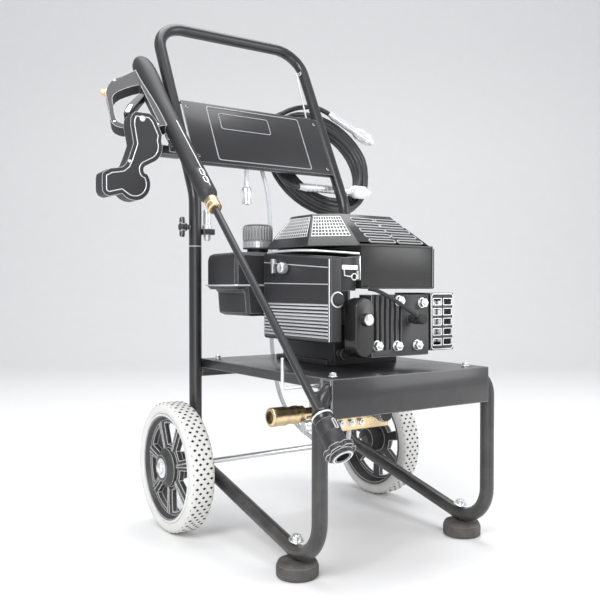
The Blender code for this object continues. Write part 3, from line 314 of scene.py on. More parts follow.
def joined(name, shapes):
    """Several mesh objects made one, at the origin."""
    work = bmesh.new()
    for shape in shapes:
        part = bmesh.new()
        part.from_mesh(shape.data)
        part.transform(shape.matrix_world)
        mesh = bpy.data.meshes.new("part")
        part.to_mesh(mesh)
        part.free()
        work.from_mesh(mesh)
        bpy.data.meshes.remove(mesh)
        bpy.data.objects.remove(shape, do_unlink=True)
    mesh = bpy.data.meshes.new(name)
    work.to_mesh(mesh)
    work.free()
    return placed(name, mesh, Matrix.Identity(4))


def rounded(obj, width, segments=2, angle=30):
    """Rounds a piece's edges and evens its shading, then makes it plain."""
    if width > 0:
        edge = obj.modifiers.new("rounding", "BEVEL")
        edge.width = width
        edge.segments = segments
        edge.limit_method = "ANGLE"
        edge.angle_limit = math.radians(angle)
        edge.harden_normals = False
    made = plain(obj)
    made.data.shade_smooth()
    made.data.set_sharp_from_angle(angle=math.radians(42))
    return made


def refined(node, width=0.0015, segments=2, flat=2.0):
    """A copy of a frame node with merged points, clean flats and rounded edges."""
    work = bmesh.new()
    work.from_mesh(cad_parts[node].data)
    bmesh.ops.remove_doubles(work, verts=work.verts, dist=1e-5)
    bmesh.ops.dissolve_limit(work, angle_limit=math.radians(flat), verts=work.verts, edges=work.edges)
    mesh = bpy.data.meshes.new(node)
    work.to_mesh(mesh)
    work.free()
    return rounded(placed(node + "_copy", mesh, Matrix.Identity(4)), width, segments)


def piece(name, shapes, finish, body, replaces=(), width=0.0, segments=2):
    """Joins shapes into one finished piece that rides on a body."""
    shapes = shapes if isinstance(shapes, list) else [shapes]
    made = joined(name, shapes)
    made = rounded(made, width, segments)
    made.name = name
    made.data.materials.clear()
    made.data.materials.append(finish)
    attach(made, body)
    if replaces:
        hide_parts(*replaces)
    return made


# ---- geometry nodes: one item repeated on points ----------------------------------------------
def repeat_tree():
    """The tree that puts an item on every point, turned as the point says."""
    found = bpy.data.node_groups.get("repeat_on_points")
    if found:
        return found
    tree = bpy.data.node_groups.new("repeat_on_points", "GeometryNodeTree")
    tree.interface.new_socket("Geometry", in_out="INPUT", socket_type="NodeSocketGeometry")
    tree.interface.new_socket("Item", in_out="INPUT", socket_type="NodeSocketObject")
    size = tree.interface.new_socket("Size", in_out="INPUT", socket_type="NodeSocketFloat")
    size.default_value = 1.0
    tree.interface.new_socket("Finish", in_out="INPUT", socket_type="NodeSocketMaterial")
    tree.interface.new_socket("Geometry", in_out="OUTPUT", socket_type="NodeSocketGeometry")
    nodes = tree.nodes
    links = tree.links
    start = nodes.new("NodeGroupInput")
    end = nodes.new("NodeGroupOutput")
    item = nodes.new("GeometryNodeObjectInfo")
    turn = nodes.new("GeometryNodeInputNamedAttribute")
    turn.data_type = "QUATERNION"
    turn.inputs["Name"].default_value = "turn"
    spread = nodes.new("GeometryNodeInstanceOnPoints")
    real = nodes.new("GeometryNodeRealizeInstances")
    coat = nodes.new("GeometryNodeSetMaterial")
    links.new(start.outputs["Geometry"], spread.inputs["Points"])
    links.new(start.outputs["Item"], item.inputs["Object"])
    links.new(item.outputs["Geometry"], spread.inputs["Instance"])
    links.new(turn.outputs["Attribute"], spread.inputs["Rotation"])
    links.new(start.outputs["Size"], spread.inputs["Scale"])
    links.new(spread.outputs["Instances"], real.inputs["Geometry"])
    links.new(real.outputs["Geometry"], coat.inputs["Geometry"])
    links.new(start.outputs["Finish"], coat.inputs["Material"])
    links.new(coat.outputs["Geometry"], end.inputs["Geometry"])
    return tree


def repeated(name, item, matrices, finish, size=1.0):
    """One plain mesh with an item at every matrix."""
    mesh = bpy.data.meshes.new(name)
    mesh.from_pydata([m.translation for m in matrices], [], [])
    turns = mesh.attributes.new("turn", "QUATERNION", "POINT")
    for value, matrix in zip(turns.data, matrices):
        value.value = matrix.to_quaternion()
    obj = placed(name, mesh, Matrix.Identity(4))
    spread = obj.modifiers.new("repeat", "NODES")
    spread.node_group = repeat_tree()
    sockets = {s.name: s.identifier for s in spread.node_group.interface.items_tree if s.in_out == "INPUT"}
    spread[sockets["Item"]] = item
    spread[sockets["Size"]] = size
    spread[sockets["Finish"]] = finish
    made = plain(obj)
    bpy.data.objects.remove(item, do_unlink=True)
    return made


def hex_bolt(width, height, flange=1.25):
    """A hexagon bolt head on its round flange, standing on Z."""
    outline = [(width / 2 * math.cos(math.radians(60 * i)), width / 2 * math.sin(math.radians(60 * i)))
               for i in range(6)]
    head = plate([outline], height / 2, Matrix.Translation((0, 0, height * 0.62)))
    washer = turned([(0.0, height * 0.22), (width * flange / 2 - 0.0006, height * 0.22),
                     (width * flange / 2, height * 0.12), (width * flange / 2, 0.0), (0.0, 0.0)],
                    Matrix.Identity(4), 24)
    shank = turned([(0.0, height * 1.35), (width * 0.22, height * 1.35), (width * 0.26, height * 1.2),
                    (width * 0.26, 0.0), (0.0, 0.0)], Matrix.Identity(4), 16)
    return rounded(joined("bolt", [head, washer, shank]), 0.0005, 1)


# ---- shader node groups -----------------------------------------------------------------------
def shader_group(name, inputs, outputs):
    """A new shader node group with its sockets, its input node and its output node."""
    tree = bpy.data.node_groups.new(name, "ShaderNodeTree")
    for label, kind, value in inputs:
        socket = tree.interface.new_socket(label, in_out="INPUT", socket_type=kind)
        socket.default_value = value
    for label, kind in outputs:
        tree.interface.new_socket(label, in_out="OUTPUT", socket_type=kind)
    return tree, tree.nodes.new("NodeGroupInput"), tree.nodes.new("NodeGroupOutput")


def math_node(tree, operation, first, second=None, clamp=False):
    """A Math node fed by sockets or numbers; returns its output."""
    node = tree.nodes.new("ShaderNodeMath")
    node.operation = operation
    node.use_clamp = clamp
    for socket, value in zip(node.inputs, (first, second)):
        if value is None:
            continue
        if isinstance(value, (int, float)):
            socket.default_value = value
        else:
            tree.links.new(value, socket)
    return node.outputs[0]


def noise_node(tree, vector, scale, detail=4.0, roughness=0.55):
    """A Noise texture's value."""
    node = tree.nodes.new("ShaderNodeTexNoise")
    node.inputs["Detail"].default_value = detail
    node.inputs["Roughness"].default_value = roughness
    tree.links.new(vector, node.inputs["Vector"])
    if isinstance(scale, (int, float)):
        node.inputs["Scale"].default_value = scale
    else:
        tree.links.new(scale, node.inputs["Scale"])
    return node.outputs["Fac"]


def mixed(tree, factor, first, second):
    """A colour mix of two sockets or colours."""
    node = tree.nodes.new("ShaderNodeMix")
    node.data_type = "RGBA"
    for socket, value in ((node.inputs[0], factor), (node.inputs[6], first), (node.inputs[7], second)):
        if isinstance(value, (int, float)):
            socket.default_value = value
        elif isinstance(value, tuple):
            socket.default_value = (*value[:3], 1.0)
        else:
            tree.links.new(value, socket)
    return node.outputs[2]


def edge_highlight_group():
    """Mask of a piece's outer edges, broken up a little by noise: a painted highlight along the edges,
    standing for the light that they catch.
    """
    found = bpy.data.node_groups.get("rubbed_edges")
    if found:
        return found
    tree, start, end = shader_group("rubbed_edges", [("Width", "NodeSocketFloat", 0.002),
                                                     ("Strength", "NodeSocketFloat", 1.0)],
                                    [("Mask", "NodeSocketFloat")])
    # Painted highlight: where the bevelled normal turns away from the true normal, the mask rises.
    round_edge = tree.nodes.new("ShaderNodeBevel")
    round_edge.samples = 6
    tree.links.new(start.outputs["Width"], round_edge.inputs["Radius"])
    surface = tree.nodes.new("ShaderNodeNewGeometry")
    facing_node = tree.nodes.new("ShaderNodeVectorMath")
    facing_node.operation = "DOT_PRODUCT"
    tree.links.new(round_edge.outputs["Normal"], facing_node.inputs[0])
    tree.links.new(surface.outputs["Normal"], facing_node.inputs[1])
    apart = math_node(tree, "SUBTRACT", 1.0, facing_node.outputs["Value"])
    place = tree.nodes.new("ShaderNodeTexCoord")
    broken = noise_node(tree, place.outputs["Object"], 90.0)
    sharp = math_node(tree, "MULTIPLY", apart, 9.0)
    highlight_breakup = math_node(tree, "ADD", math_node(tree, "MULTIPLY", broken, 0.5), 0.72)
    mask = math_node(tree, "MULTIPLY", math_node(tree, "MULTIPLY", sharp, highlight_breakup), start.outputs["Strength"],
                     True)
    tree.links.new(mask, end.inputs["Mask"])
    return tree


def grain_group():
    """Fine moulded or sprayed grain: a height, and a slow change of tone."""
    found = bpy.data.node_groups.get("fine_grain")
    if found:
        return found
    tree, start, end = shader_group("fine_grain", [("Scale", "NodeSocketFloat", 900.0),
                                                   ("Mottle Scale", "NodeSocketFloat", 14.0)],
                                    [("Height", "NodeSocketFloat"), ("Tone", "NodeSocketFloat")])
    place = tree.nodes.new("ShaderNodeTexCoord")
    fine = noise_node(tree, place.outputs["Object"], start.outputs["Scale"], 2.0)
    slow = noise_node(tree, place.outputs["Object"], start.outputs["Mottle Scale"], 5.0, 0.6)
    tree.links.new(fine, end.inputs["Height"])
    tree.links.new(slow, end.inputs["Tone"])
    return tree


def dust_group():
    """Mask of the dust that settles low down, in patches."""
    found = bpy.data.node_groups.get("settled_dust")
    if found:
        return found
    tree, start, end = shader_group("settled_dust", [("Height", "NodeSocketFloat", 0.25)],
                                    [("Mask", "NodeSocketFloat")])
    place = tree.nodes.new("ShaderNodeTexCoord")
    split = tree.nodes.new("ShaderNodeSeparateXYZ")
    tree.links.new(place.outputs["Object"], split.inputs[0])
    low = math_node(tree, "SUBTRACT", 1.0,
                    math_node(tree, "DIVIDE", split.outputs["Z"], start.outputs["Height"]), True)
    patchy = noise_node(tree, place.outputs["Object"], 32.0, 6.0, 0.65)
    mask = math_node(tree, "MULTIPLY", low, math_node(tree, "POWER", patchy, 2.0), True)
    tree.links.new(mask, end.inputs["Mask"])
    return tree


def place_group(tree, group, **values):
    """A group node with its values set."""
    node = tree.nodes.new("ShaderNodeGroup")
    node.node_tree = group
    for label, value in values.items():
        node.inputs[label.replace("_", " ")].default_value = value
    return node


def finish(name, base, rough, metal=0.0, edge=0.0, highlight_colour=None, highlight_width=0.0022, grain=900.0,
           depth=0.02,
           mottle=0.12, mottle_scale=14.0, dust=0.0, coat=0.0, rough_spread=0.12, wave=None, glass=0.0):
    """A finish with grain, slow mottling, a painted edge highlight and dust, each as strong as asked for.
    """
    found = bpy.data.materials.get(name)
    if found:
        return found
    made = bpy.data.materials.new(name)
    made.use_nodes = True
    made.diffuse_color = (*base, 1.0)
    tree = made.node_tree
    shader = tree.nodes["Principled BSDF"]
    shader.inputs["Metallic"].default_value = metal
    shader.inputs["Coat Weight"].default_value = coat
    shader.inputs["Coat Roughness"].default_value = 0.12
    if glass:
        shader.inputs["Transmission Weight"].default_value = glass
        shader.inputs["IOR"].default_value = 1.45
    texture = place_group(tree, grain_group(), Scale=grain, Mottle_Scale=mottle_scale)
    tone = texture.outputs["Tone"]
    darker = tuple(c * (1 - mottle) for c in base)
    lighter = tuple(min(1.0, c * (1 + mottle)) for c in base)
    shade = mixed(tree, tone, darker, lighter)
    if dust:
        settled = place_group(tree, dust_group(), Height=0.34)
        shade = mixed(tree, math_node(tree, "MULTIPLY", settled.outputs["Mask"], dust), shade,
                      (0.42, 0.39, 0.34))
    # Painted highlight: the edges are mixed towards a light colour to stand for the light they catch.
    if edge:
        highlighted = place_group(tree, edge_highlight_group(), Width=highlight_width, Strength=edge)
        shade = mixed(tree, highlighted.outputs["Mask"], shade, highlight_colour or (0.7, 0.7, 0.7))
    tree.links.new(shade, shader.inputs["Base Color"])
    uneven = math_node(tree, "MULTIPLY_ADD", tone, rough_spread)
    uneven.node.inputs[2].default_value = rough - rough_spread / 2
    tree.links.new(uneven, shader.inputs["Roughness"])
    height = texture.outputs["Height"]
    if wave:
        axis, scale, share = wave
        lines = tree.nodes.new("ShaderNodeTexWave")
        lines.bands_direction = axis
        lines.inputs["Scale"].default_value = scale
        lines.inputs["Distortion"].default_value = 0.6
        place = tree.nodes.new("ShaderNodeTexCoord")
        tree.links.new(place.outputs["Object"], lines.inputs["Vector"])
        height = math_node(tree, "ADD", height, math_node(tree, "MULTIPLY", lines.outputs["Fac"], share))
    bump = tree.nodes.new("ShaderNodeBump")
    bump.inputs["Strength"].default_value = 0.35
    bump.inputs["Distance"].default_value = depth * 0.01
    tree.links.new(height, bump.inputs["Height"])
    tree.links.new(bump.outputs["Normal"], shader.inputs["Normal"])
    return made


def coat_finish():
    """Satin black powder coat, with a painted highlight along its edges."""
    c = bpy.context.scene.washer_colours
    return finish("powder_coat", tuple(c.coat), 0.36, edge=0.75, highlight_colour=tuple(c.highlight),
                  grain=620.0,
                  depth=0.020, dust=0.30, coat=0.25)


def plastic_finish():
    """Grained black moulding."""
    c = bpy.context.scene.washer_colours
    return finish("moulded_black", tuple(c.plastic), 0.50, edge=0.85, highlight_colour=tuple(c.highlight),
                  grain=1500.0,
                  depth=0.018)


def gloss_finish():
    """Gloss black hood and cover."""
    c = bpy.context.scene.washer_colours
    return finish("gloss_black", tuple(c.coat), 0.24, edge=0.9, highlight_colour=tuple(c.highlight), grain=300.0,
                  depth=0.006, coat=0.6, rough_spread=0.08)


def rubber_finish():
    """Matt black rubber with a dusty bloom."""
    return finish("black_rubber", (0.028, 0.028, 0.029), 0.78, edge=0.4, highlight_colour=(0.45, 0.45, 0.45),
                  grain=700.0,
                  depth=0.05, dust=0.5)


def tyre_finish():
    """Pale solid tyre, scuffed and dusty."""
    c = bpy.context.scene.washer_colours
    return finish("pale_tyre", tuple(c.tyre), 0.72, grain=420.0, depth=0.06, mottle=0.10, mottle_scale=30.0,
                  dust=0.35)


def pit_shade_finish():
    """Painted shade: a near-black finish for the tread's pits and grooves and the hood's slots, standing
    for the shade inside them.
    """
    return finish("tread_pit", (0.020, 0.020, 0.020), 0.88, grain=300.0, depth=0.05)


def rim_finish():
    """Dark moulded wheel with a painted highlight along its edges."""
    c = bpy.context.scene.washer_colours
    return finish("moulded_wheel", tuple(c.rim), 0.42, edge=1.0, highlight_colour=(0.82, 0.82, 0.82),
                  highlight_width=0.0030,
                  grain=900.0, depth=0.02, dust=0.2)


def zinc_finish():
    """Bright zinc plate with a faint spangle."""
    c = bpy.context.scene.washer_colours
    return finish("zinc_plate", tuple(c.zinc), 0.30, metal=0.85, edge=0.4, highlight_colour=(0.95, 0.95, 0.95),
                  grain=260.0,
                  depth=0.010, mottle=0.14, mottle_scale=60.0)


def brass_finish():
    """Turned brass with fine tool lines."""
    c = bpy.context.scene.washer_colours
    return finish("turned_brass", tuple(c.brass), 0.28, metal=1.0, edge=0.4, highlight_colour=(0.96, 0.86, 0.62),
                  grain=240.0,
                  depth=0.012, mottle=0.10, wave=("X", 260.0, 0.4))


def cast_finish():
    """Die-cast aluminium, slightly rough."""
    return finish("cast_aluminium", (0.42, 0.43, 0.44), 0.48, metal=0.8, edge=0.5,
                  highlight_colour=(0.9, 0.9, 0.9),
                  grain=520.0, depth=0.07, mottle=0.15, mottle_scale=40.0)


def dark_cast_finish():
    """Black painted casting, with a painted highlight along its edges."""
    c = bpy.context.scene.washer_colours
    return finish("painted_casting", (0.030, 0.030, 0.032), 0.46, edge=1.0, highlight_colour=tuple(c.highlight),
                  highlight_width=0.0016, grain=520.0, depth=0.06)


def steel_finish():
    """Bare ground steel."""
    return finish("bare_steel", (0.42, 0.42, 0.43), 0.36, metal=1.0, grain=300.0, depth=0.02,
                  wave=("Z", 300.0, 0.5))


def sleeve_finish():
    """Bright ribbed crimp sleeve on a hose end."""
    c = bpy.context.scene.washer_colours
    return finish("crimp_sleeve", tuple(c.zinc), 0.34, metal=0.6, edge=0.5, highlight_colour=(0.96, 0.96, 0.96),
                  grain=300.0,
                  depth=0.02)


def hose_finish():
    """Black hose cover with a faint wrapped-cloth texture."""
    return finish("hose_cover", (0.026, 0.026, 0.028), 0.52, grain=520.0, depth=0.05, mottle=0.25,
                  mottle_scale=50.0,
                  coat=0.25, wave=("DIAGONAL", 180.0, 0.35))


def clear_finish():
    """Clear vinyl tube, slightly milky."""
    return finish("clear_vinyl", (0.80, 0.83, 0.85), 0.20, grain=120.0, depth=0.01, glass=0.55)


def floor_finish():
    """Pale studio floor."""
    return finish("studio_floor", (0.86, 0.86, 0.86), 0.70, grain=200.0, depth=0.01, mottle=0.02)


# ---- stage ------------------------------------------------------------------------------------
class WASHER_OT_stage(bpy.types.Operator):
    """Make the camera, the pale floor and the soft lights"""
    bl_idname = "washer.stage"
    bl_label = "Stage"

    def execute(self, context):
        lens = bpy.data.cameras.new("view")
        lens.lens = 46.27
        lens.sensor_width = 36.0
        camera = placed("view", lens, Matrix.Identity(4))
        camera.location = at(-0.887, -1.183, 0.467)
        camera.rotation_euler = (math.radians(89.1), 0.0, math.radians(-34.3))
        context.scene.camera = camera

        def sweep(work):
            depth = [(-6.0, 0.0), (3.0, 0.0)]
            depth += [(3.0 + y, 1.5 + z) for y, z in arc(0, 0, 1.5, -90, 0, 12)[1:]] + [(4.5, 6.0)]
            rows = [[work.verts.new((x, y, z - 0.0005)) for y, z in depth] for x in (-8.0, 8.0)]
            for i in range(len(depth) - 1):
                work.faces.new((rows[0][i], rows[1][i], rows[1][i + 1], rows[0][i + 1]))

        floor = meshed("floor", sweep, Matrix.Rotation(math.radians(-34.3), 4, "Z"))
        floor.data.shade_smooth()
        floor.data.materials.append(floor_finish())
        world = bpy.data.worlds.new("studio")
        world.use_nodes = True
        world.node_tree.nodes["Background"].inputs["Color"].default_value = (0.95, 0.96, 1.0, 1.0)
        world.node_tree.nodes["Background"].inputs["Strength"].default_value = 0.55
        context.scene.world = world
        for name, place, power, size in (("key", (-2.4, -1.6, 2.6), 85.0, 1.6),
                                         ("fill", (2.2, -2.2, 1.4), 45.0, 2.0),
                                         ("top", (0.3, 0.6, 3.2), 60.0, 2.2),
                                         ("low", (-1.8, -2.6, 0.5), 18.0, 1.2)):
            lamp = bpy.data.lights.new(name, "AREA")
            lamp.energy = power
            lamp.size = size
            obj = placed(name, lamp, Matrix.Identity(4))
            obj.location = place
            obj.rotation_euler = (Vector((0.0, 0.0,
                                          0.5)) - Vector(place)).to_track_quat("-Z", "Y").to_euler()
        context.scene.view_settings.view_transform = "Standard"
        return {"FINISHED"}


# ---- cords ------------------------------------------------------------------------------------
COIL_CENTRE = (0.205, 0.157)
COIL_BACK = 0.058
COIL_R = 0.123
COIL_TURNS = 7
COIL_START = 120.0  # degrees round the coil where the wound hose begins
COIL_LEAVES = 320.0  # degrees into the last turn where it leaves the bundle
MOVE = 36.0  # degrees over which one turn steps to the next slot
SIPHON_ROUTE = [
    (0.0040, -0.0400, 0.2117), (0.0040, -0.0400, 0.1930), (0.0044, -0.0320, 0.1720),
                (0.0052, -0.0080, 0.1580),
    (0.0062, 0.0600, 0.1600), (0.0080, 0.1450, 0.1860), (0.0092, 0.2080, 0.2400), (0.0100, 0.2400, 0.3400),
    (0.0100, 0.2455, 0.4800), (0.0100, 0.2490, 0.6200), (0.0060, 0.2620, 0.7000), (-0.0040, 0.2960, 0.7700),
    (-0.0230, 0.3100, 0.7970), (-0.0400, 0.2920, 0.7800), (-0.0448, 0.2640, 0.7500),
                (-0.0450, 0.2560, 0.7230),
    (-0.0450, 0.2560, 0.6950),
]
LEAD_IN = [(-0.1050, -0.0930, 0.0290), (-0.1230, -0.0915, 0.0290), (-0.1400, -0.0800, 0.0295),
           (-0.1500, -0.0580, 0.0300), (-0.1510, -0.0300, 0.0310), (-0.1440, 0.0000, 0.0325),
           (-0.1290, 0.0330, 0.0335), (-0.1080, 0.0620, 0.0350), (-0.0850, 0.0830, 0.0400)]
LEAD_OUT = [(-0.0980, 0.1130, 0.0640), (-0.0670, 0.1360, 0.0540), (-0.0300, 0.1480, 0.0420),
            (0.0080, 0.1500, 0.0330), (0.0330, 0.1440, 0.0300), (0.0530, 0.1330, 0.0290)]


def coil_slot(number, pitch):
    """Where a turn lies in the bundle: its radius and its distance behind the handle."""
    column, row = divmod(number, 3)
    if column % 2:
        row = 2 - row
    return COIL_R + (column - 1) * pitch, COIL_BACK + (row - 1) * pitch


def coil_point(travel, pitch):
    """A point of the wound hose, so many degrees from where the winding begins."""
    number = int(travel // 360)
    inside = travel - 360 * number
    starts = 360 - MOVE * (number + 1)
    share = min(1.0, max(0.0, (inside - starts) / MOVE))
    share = (1 - math.cos(math.pi * share)) / 2
    here, there = coil_slot(number, pitch), coil_slot(number + 1, pitch)
    radius, back = (a + (b - a) * share for a, b in zip(here, there))
    angle = math.radians(COIL_START - travel)
    return raked(COIL_CENTRE[0] + radius * math.cos(angle), back, COIL_CENTRE[1] + radius * math.sin(angle))


def beside_coil(x, along, back):
    """A point given from the coil's middle."""
    return raked(COIL_CENTRE[0] + x, back, COIL_CENTRE[1] + along)


class WASHER_OT_hoses(bpy.types.Operator):
    """Wind the pressure hose on its hanger and run the detergent hose"""
    bl_idname = "washer.hoses"
    bl_label = "Hoses"

    def execute(self, context):
        sizes = context.scene.washer_sizes
        finishes = (sleeve_finish(), zinc_finish())
        for word, start, end in (("upper", (0.258, 0.290), (0.362, 0.210)),
                                 ("lower", (0.100, 0.064), (0.294, 0.058))):
            node = f"hose_end_{word}"
            first = raked(start[0], 0.0290, start[1])
            run = raked(end[0], 0.0215, end[1]) - first
            self.coupling(word, node, first, run, finishes)
        route = [beside_coil(*p) for p in LEAD_IN]
        last = COIL_TURNS * 360 + COIL_LEAVES
        wound = [coil_point(last * i / 300, sizes.pitch) for i in range(301)]
        tail = [beside_coil(*p) for p in LEAD_OUT]
        lead = smooth_route(route + wound[2:5], 0.012)[:-3]
        leave = smooth_route(wound[-5:-2] + tail, 0.012)[3:]
        points = lead + wound[4:-4] + leave
        hose = curve_through("pressure_hose", points, sizes.hose / 2, 5)
        hose.data.materials.append(hose_finish())
        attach(hose, "handle")
        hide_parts("hose_coil")

        clear = [at(*p) for p in SIPHON_ROUTE]
        points = smooth_route(clear, 0.008)
        siphon = curve_through("detergent_hose", points, sizes.siphon / 2, 5)
        siphon.data.materials.append(clear_finish())
        strainer = self.strainer(clear[-1])
        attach(siphon, "frame")
        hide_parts("siphon_hose")
        return {"FINISHED"}

    def coupling(self, word, node, first, run, finishes):
        """A crimped sleeve and its screw coupling, in line."""
        way = facing(first, run)
        long = run.length
        nut = long - 0.050
        ribs = 11
        top = nut - 0.004
        ribbed = [(0.0, top), (0.0088, top)]
        for i in range(ribs * 2):
            height = top - 0.002 - (top - 0.018) * i / (ribs * 2)
            ribbed.append((0.0095 if i % 2 else 0.0082, height))
            ribbed.append((0.0095 if i % 2 else 0.0082, height - (top - 0.018) / (ribs * 2) * 0.85))
        ribbed += [(0.0072, 0.006), (0.0066, 0.0), (0.0, 0.0)]
        sleeve = piece(f"hose_sleeve_{word}", turned(ribbed, way, 40), finishes[0], "handle",
                       width=0.0)
        grip = turned([(0.0, long), (0.0105, long), (0.0110, long - 0.002), (0.0110, long - 0.008),
                       (0.0135, long - 0.009), (0.0142, long - 0.011), (0.0142, nut + 0.006),
                       (0.0128, nut + 0.001),
                       (0.0100, nut - 0.004), (0.0, nut - 0.004)], way, 48)
        bore = turned([(0.0, long + 0.0004), (0.0072, long + 0.0004), (0.0072, long - 0.001),
                       (0.0, long - 0.001)], way, 32)
        rib = rounded(block((0.0136, -0.0011, nut + 0.008), (0.0150, 0.0011, long - 0.012),
                            Matrix.Identity(4)),
                      0.0004, 1)
        turns = [way @ Matrix.Rotation(2 * math.pi * i / 18, 4, "Z") for i in range(18)]
        ribs = repeated("coupling_ribs", rib, turns, finishes[0])
        made = piece(f"hose_coupling_{word}", [grip, bore, ribs], finishes[0], "handle", [node])
        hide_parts(node)
        return made

    def strainer(self, end):
        """The detergent strainer: barbed neck and a slotted cup."""
        way = facing(end, (0, 0, -1))
        cup = turned([(0.0, 0.050), (0.0092, 0.050), (0.0106, 0.0485), (0.0106, 0.0155), (0.0096, 0.0130),
                      (0.0068, 0.0110), (0.0068, 0.0085), (0.0056, 0.0080), (0.0056, 0.0003),
                      (0.0, 0.0003)], way, 40)
        bar = rounded(block((0.0098, -0.0008, 0.020), (0.0112, 0.0008, 0.045), Matrix.Identity(4)), 0.0003,
                      1)
        bars = repeated("strainer_bars", bar,
                        [way @ Matrix.Rotation(math.radians(20 * i), 4, "Z") for i in range(18)],
                        zinc_finish())
        return piece("detergent_strainer", [cup, bars], zinc_finish(), "frame", ["siphon_strainer"])


# ---- frame and handle -------------------------------------------------------------------------
class WASHER_OT_chassis(bpy.types.Operator):
    """Bend the side tubes and dress the tray, feet and hardware"""
    bl_idname = "washer.chassis"
    bl_label = "Chassis"

    def execute(self, context):
        coat = coat_finish()
        zinc = zinc_finish()
        for side, word in ((-1, "left"), (1, "right")):
            self.side_tube(side, word, coat)
            self.foot(side, word)
        tray = [refined("engine_tray", 0.0009)]
        tray += [self.gusset(side) for side in (-1, 1)]
        piece("tray", tray, coat, "frame", ["engine_tray"])
        nuts = [at(side * (HALF_TRACK - 0.0005), -HALF_BASE + 0.066, 0.056) for side in (-1, 1)]
        places = [facing(p, (0.0, -0.25, 1.0)) for p in nuts]
        bolts = repeated("foot_nuts", hex_bolt(0.016, 0.008, 1.6), places, zinc)
        piece("foot_nuts", bolts, zinc, "frame")
        tray_bolts = [facing(at(x, y, 0.3253), (0, 0, 1)) for x,
                      y in ((-0.150, -0.196), (0.150, -0.196), (-0.150, 0.190),
                                                                       (0.150, 0.190))]
        bolts = repeated("tray_bolts", hex_bolt(0.012, 0.005), tray_bolts, zinc)
        piece("tray_bolts", bolts, zinc, "frame")
        low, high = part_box("lance_hook")
        y = (low.y + high.y) / 2
        bend = filleted([(high.x, y, low.z + 0.0046), (low.x + 0.0226, y, low.z + 0.0046),
                         (low.x + 0.0026, y, low.z + 0.0026), (low.x + 0.0026, y, high.z)], [0.012, 0.010])
        piece("lance_rest", wire(bend, 0.0026, 4), zinc, "frame", ["lance_hook"])
        self.axle(zinc)
        return {"FINISHED"}

    def side_tube(self, side, word, coat):
        """One bent side of the frame, from the middle of the crossbar to the spigot."""
        bend_z = 0.026 + 0.0003 + TUBE_R + 0.062
        bend_y = -HALF_BASE + 0.062
        slope = math.tan(math.radians(14.0))

        def sloping(y):
            return bend_z - 0.062 / math.cos(math.radians(14.0)) + (y - bend_y) * slope

        x = side * HALF_TRACK
        cross = 0.325 - 0.002 - 0.0003 - TUBE_R
        corners = [at(side * 0.00015, -HALF_BASE, cross), at(x, -HALF_BASE, cross),
                   at(x, -HALF_BASE, sloping(-HALF_BASE)), at(x, HALF_BASE, sloping(HALF_BASE)),
                   at(x, HALF_BASE, 0.550)]
        pipe = wire(filleted(corners, [0.038, 0.062, 0.060]), TUBE_R, 8)
        cap = turned([(0.0, 0.0700), (0.0104, 0.0700), (0.0104, 0.0), (0.0, 0.0)],
                     facing(at(x, HALF_BASE, 0.550), (0, 0, 1)), 40)
        piece(f"{word}_frame_side", [pipe, cap], coat, "frame", [f"{word}_side_tube"])

    def foot(self, side, word):
        """A turned rubber foot with a waist and a chamfered tread."""
        way = facing(at(side * HALF_TRACK, -HALF_BASE + 0.062, 0.0), (0, 0, 1))
        profile = [(0.0, 0.026), (0.0290, 0.026), (0.0315, 0.0250), (0.0330, 0.0225), (0.0330, 0.0205),
                   (0.0345, 0.0190), (0.0350, 0.0170), (0.0350, 0.0050), (0.0345, 0.0022), (0.0325, 0.0004),
                   (0.0300, 0.0), (0.0, 0.0)]
        piece(f"{word}_rubber_foot", turned(profile, way, 64), rubber_finish(), "frame",
              [f"{word}_foot"])

    def gusset(self, side):
        """The folded ear behind the apron's corner."""
        x = side * (HALF_TRACK - TUBE_R - 0.004)
        return rounded(block((min(x, x + side * 0.002), -0.222, 0.266),
                             (max(x, x + side * 0.002), -0.200, 0.3225)),
                       0.0006, 1)

    def axle(self, zinc):
        """The plain axle with a domed cap at each end."""
        low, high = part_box("axle")
        centre = (low + high) / 2
        half = (high.x - low.x) / 2
        one = [(0.0, half), (0.0040, half - 0.0003), (0.0080, half - 0.0018), (0.0105, half - 0.0045),
               (0.0110, half - 0.0062), (0.0110, half - 0.0080), (0.0060, half - 0.0080)]
        profile = one + [(r, -z) for r, z in reversed(one)]
        piece("wheel_axle", turned(profile, facing(centre, (1, 0, 0)), 40), zinc, "frame", ["axle"])


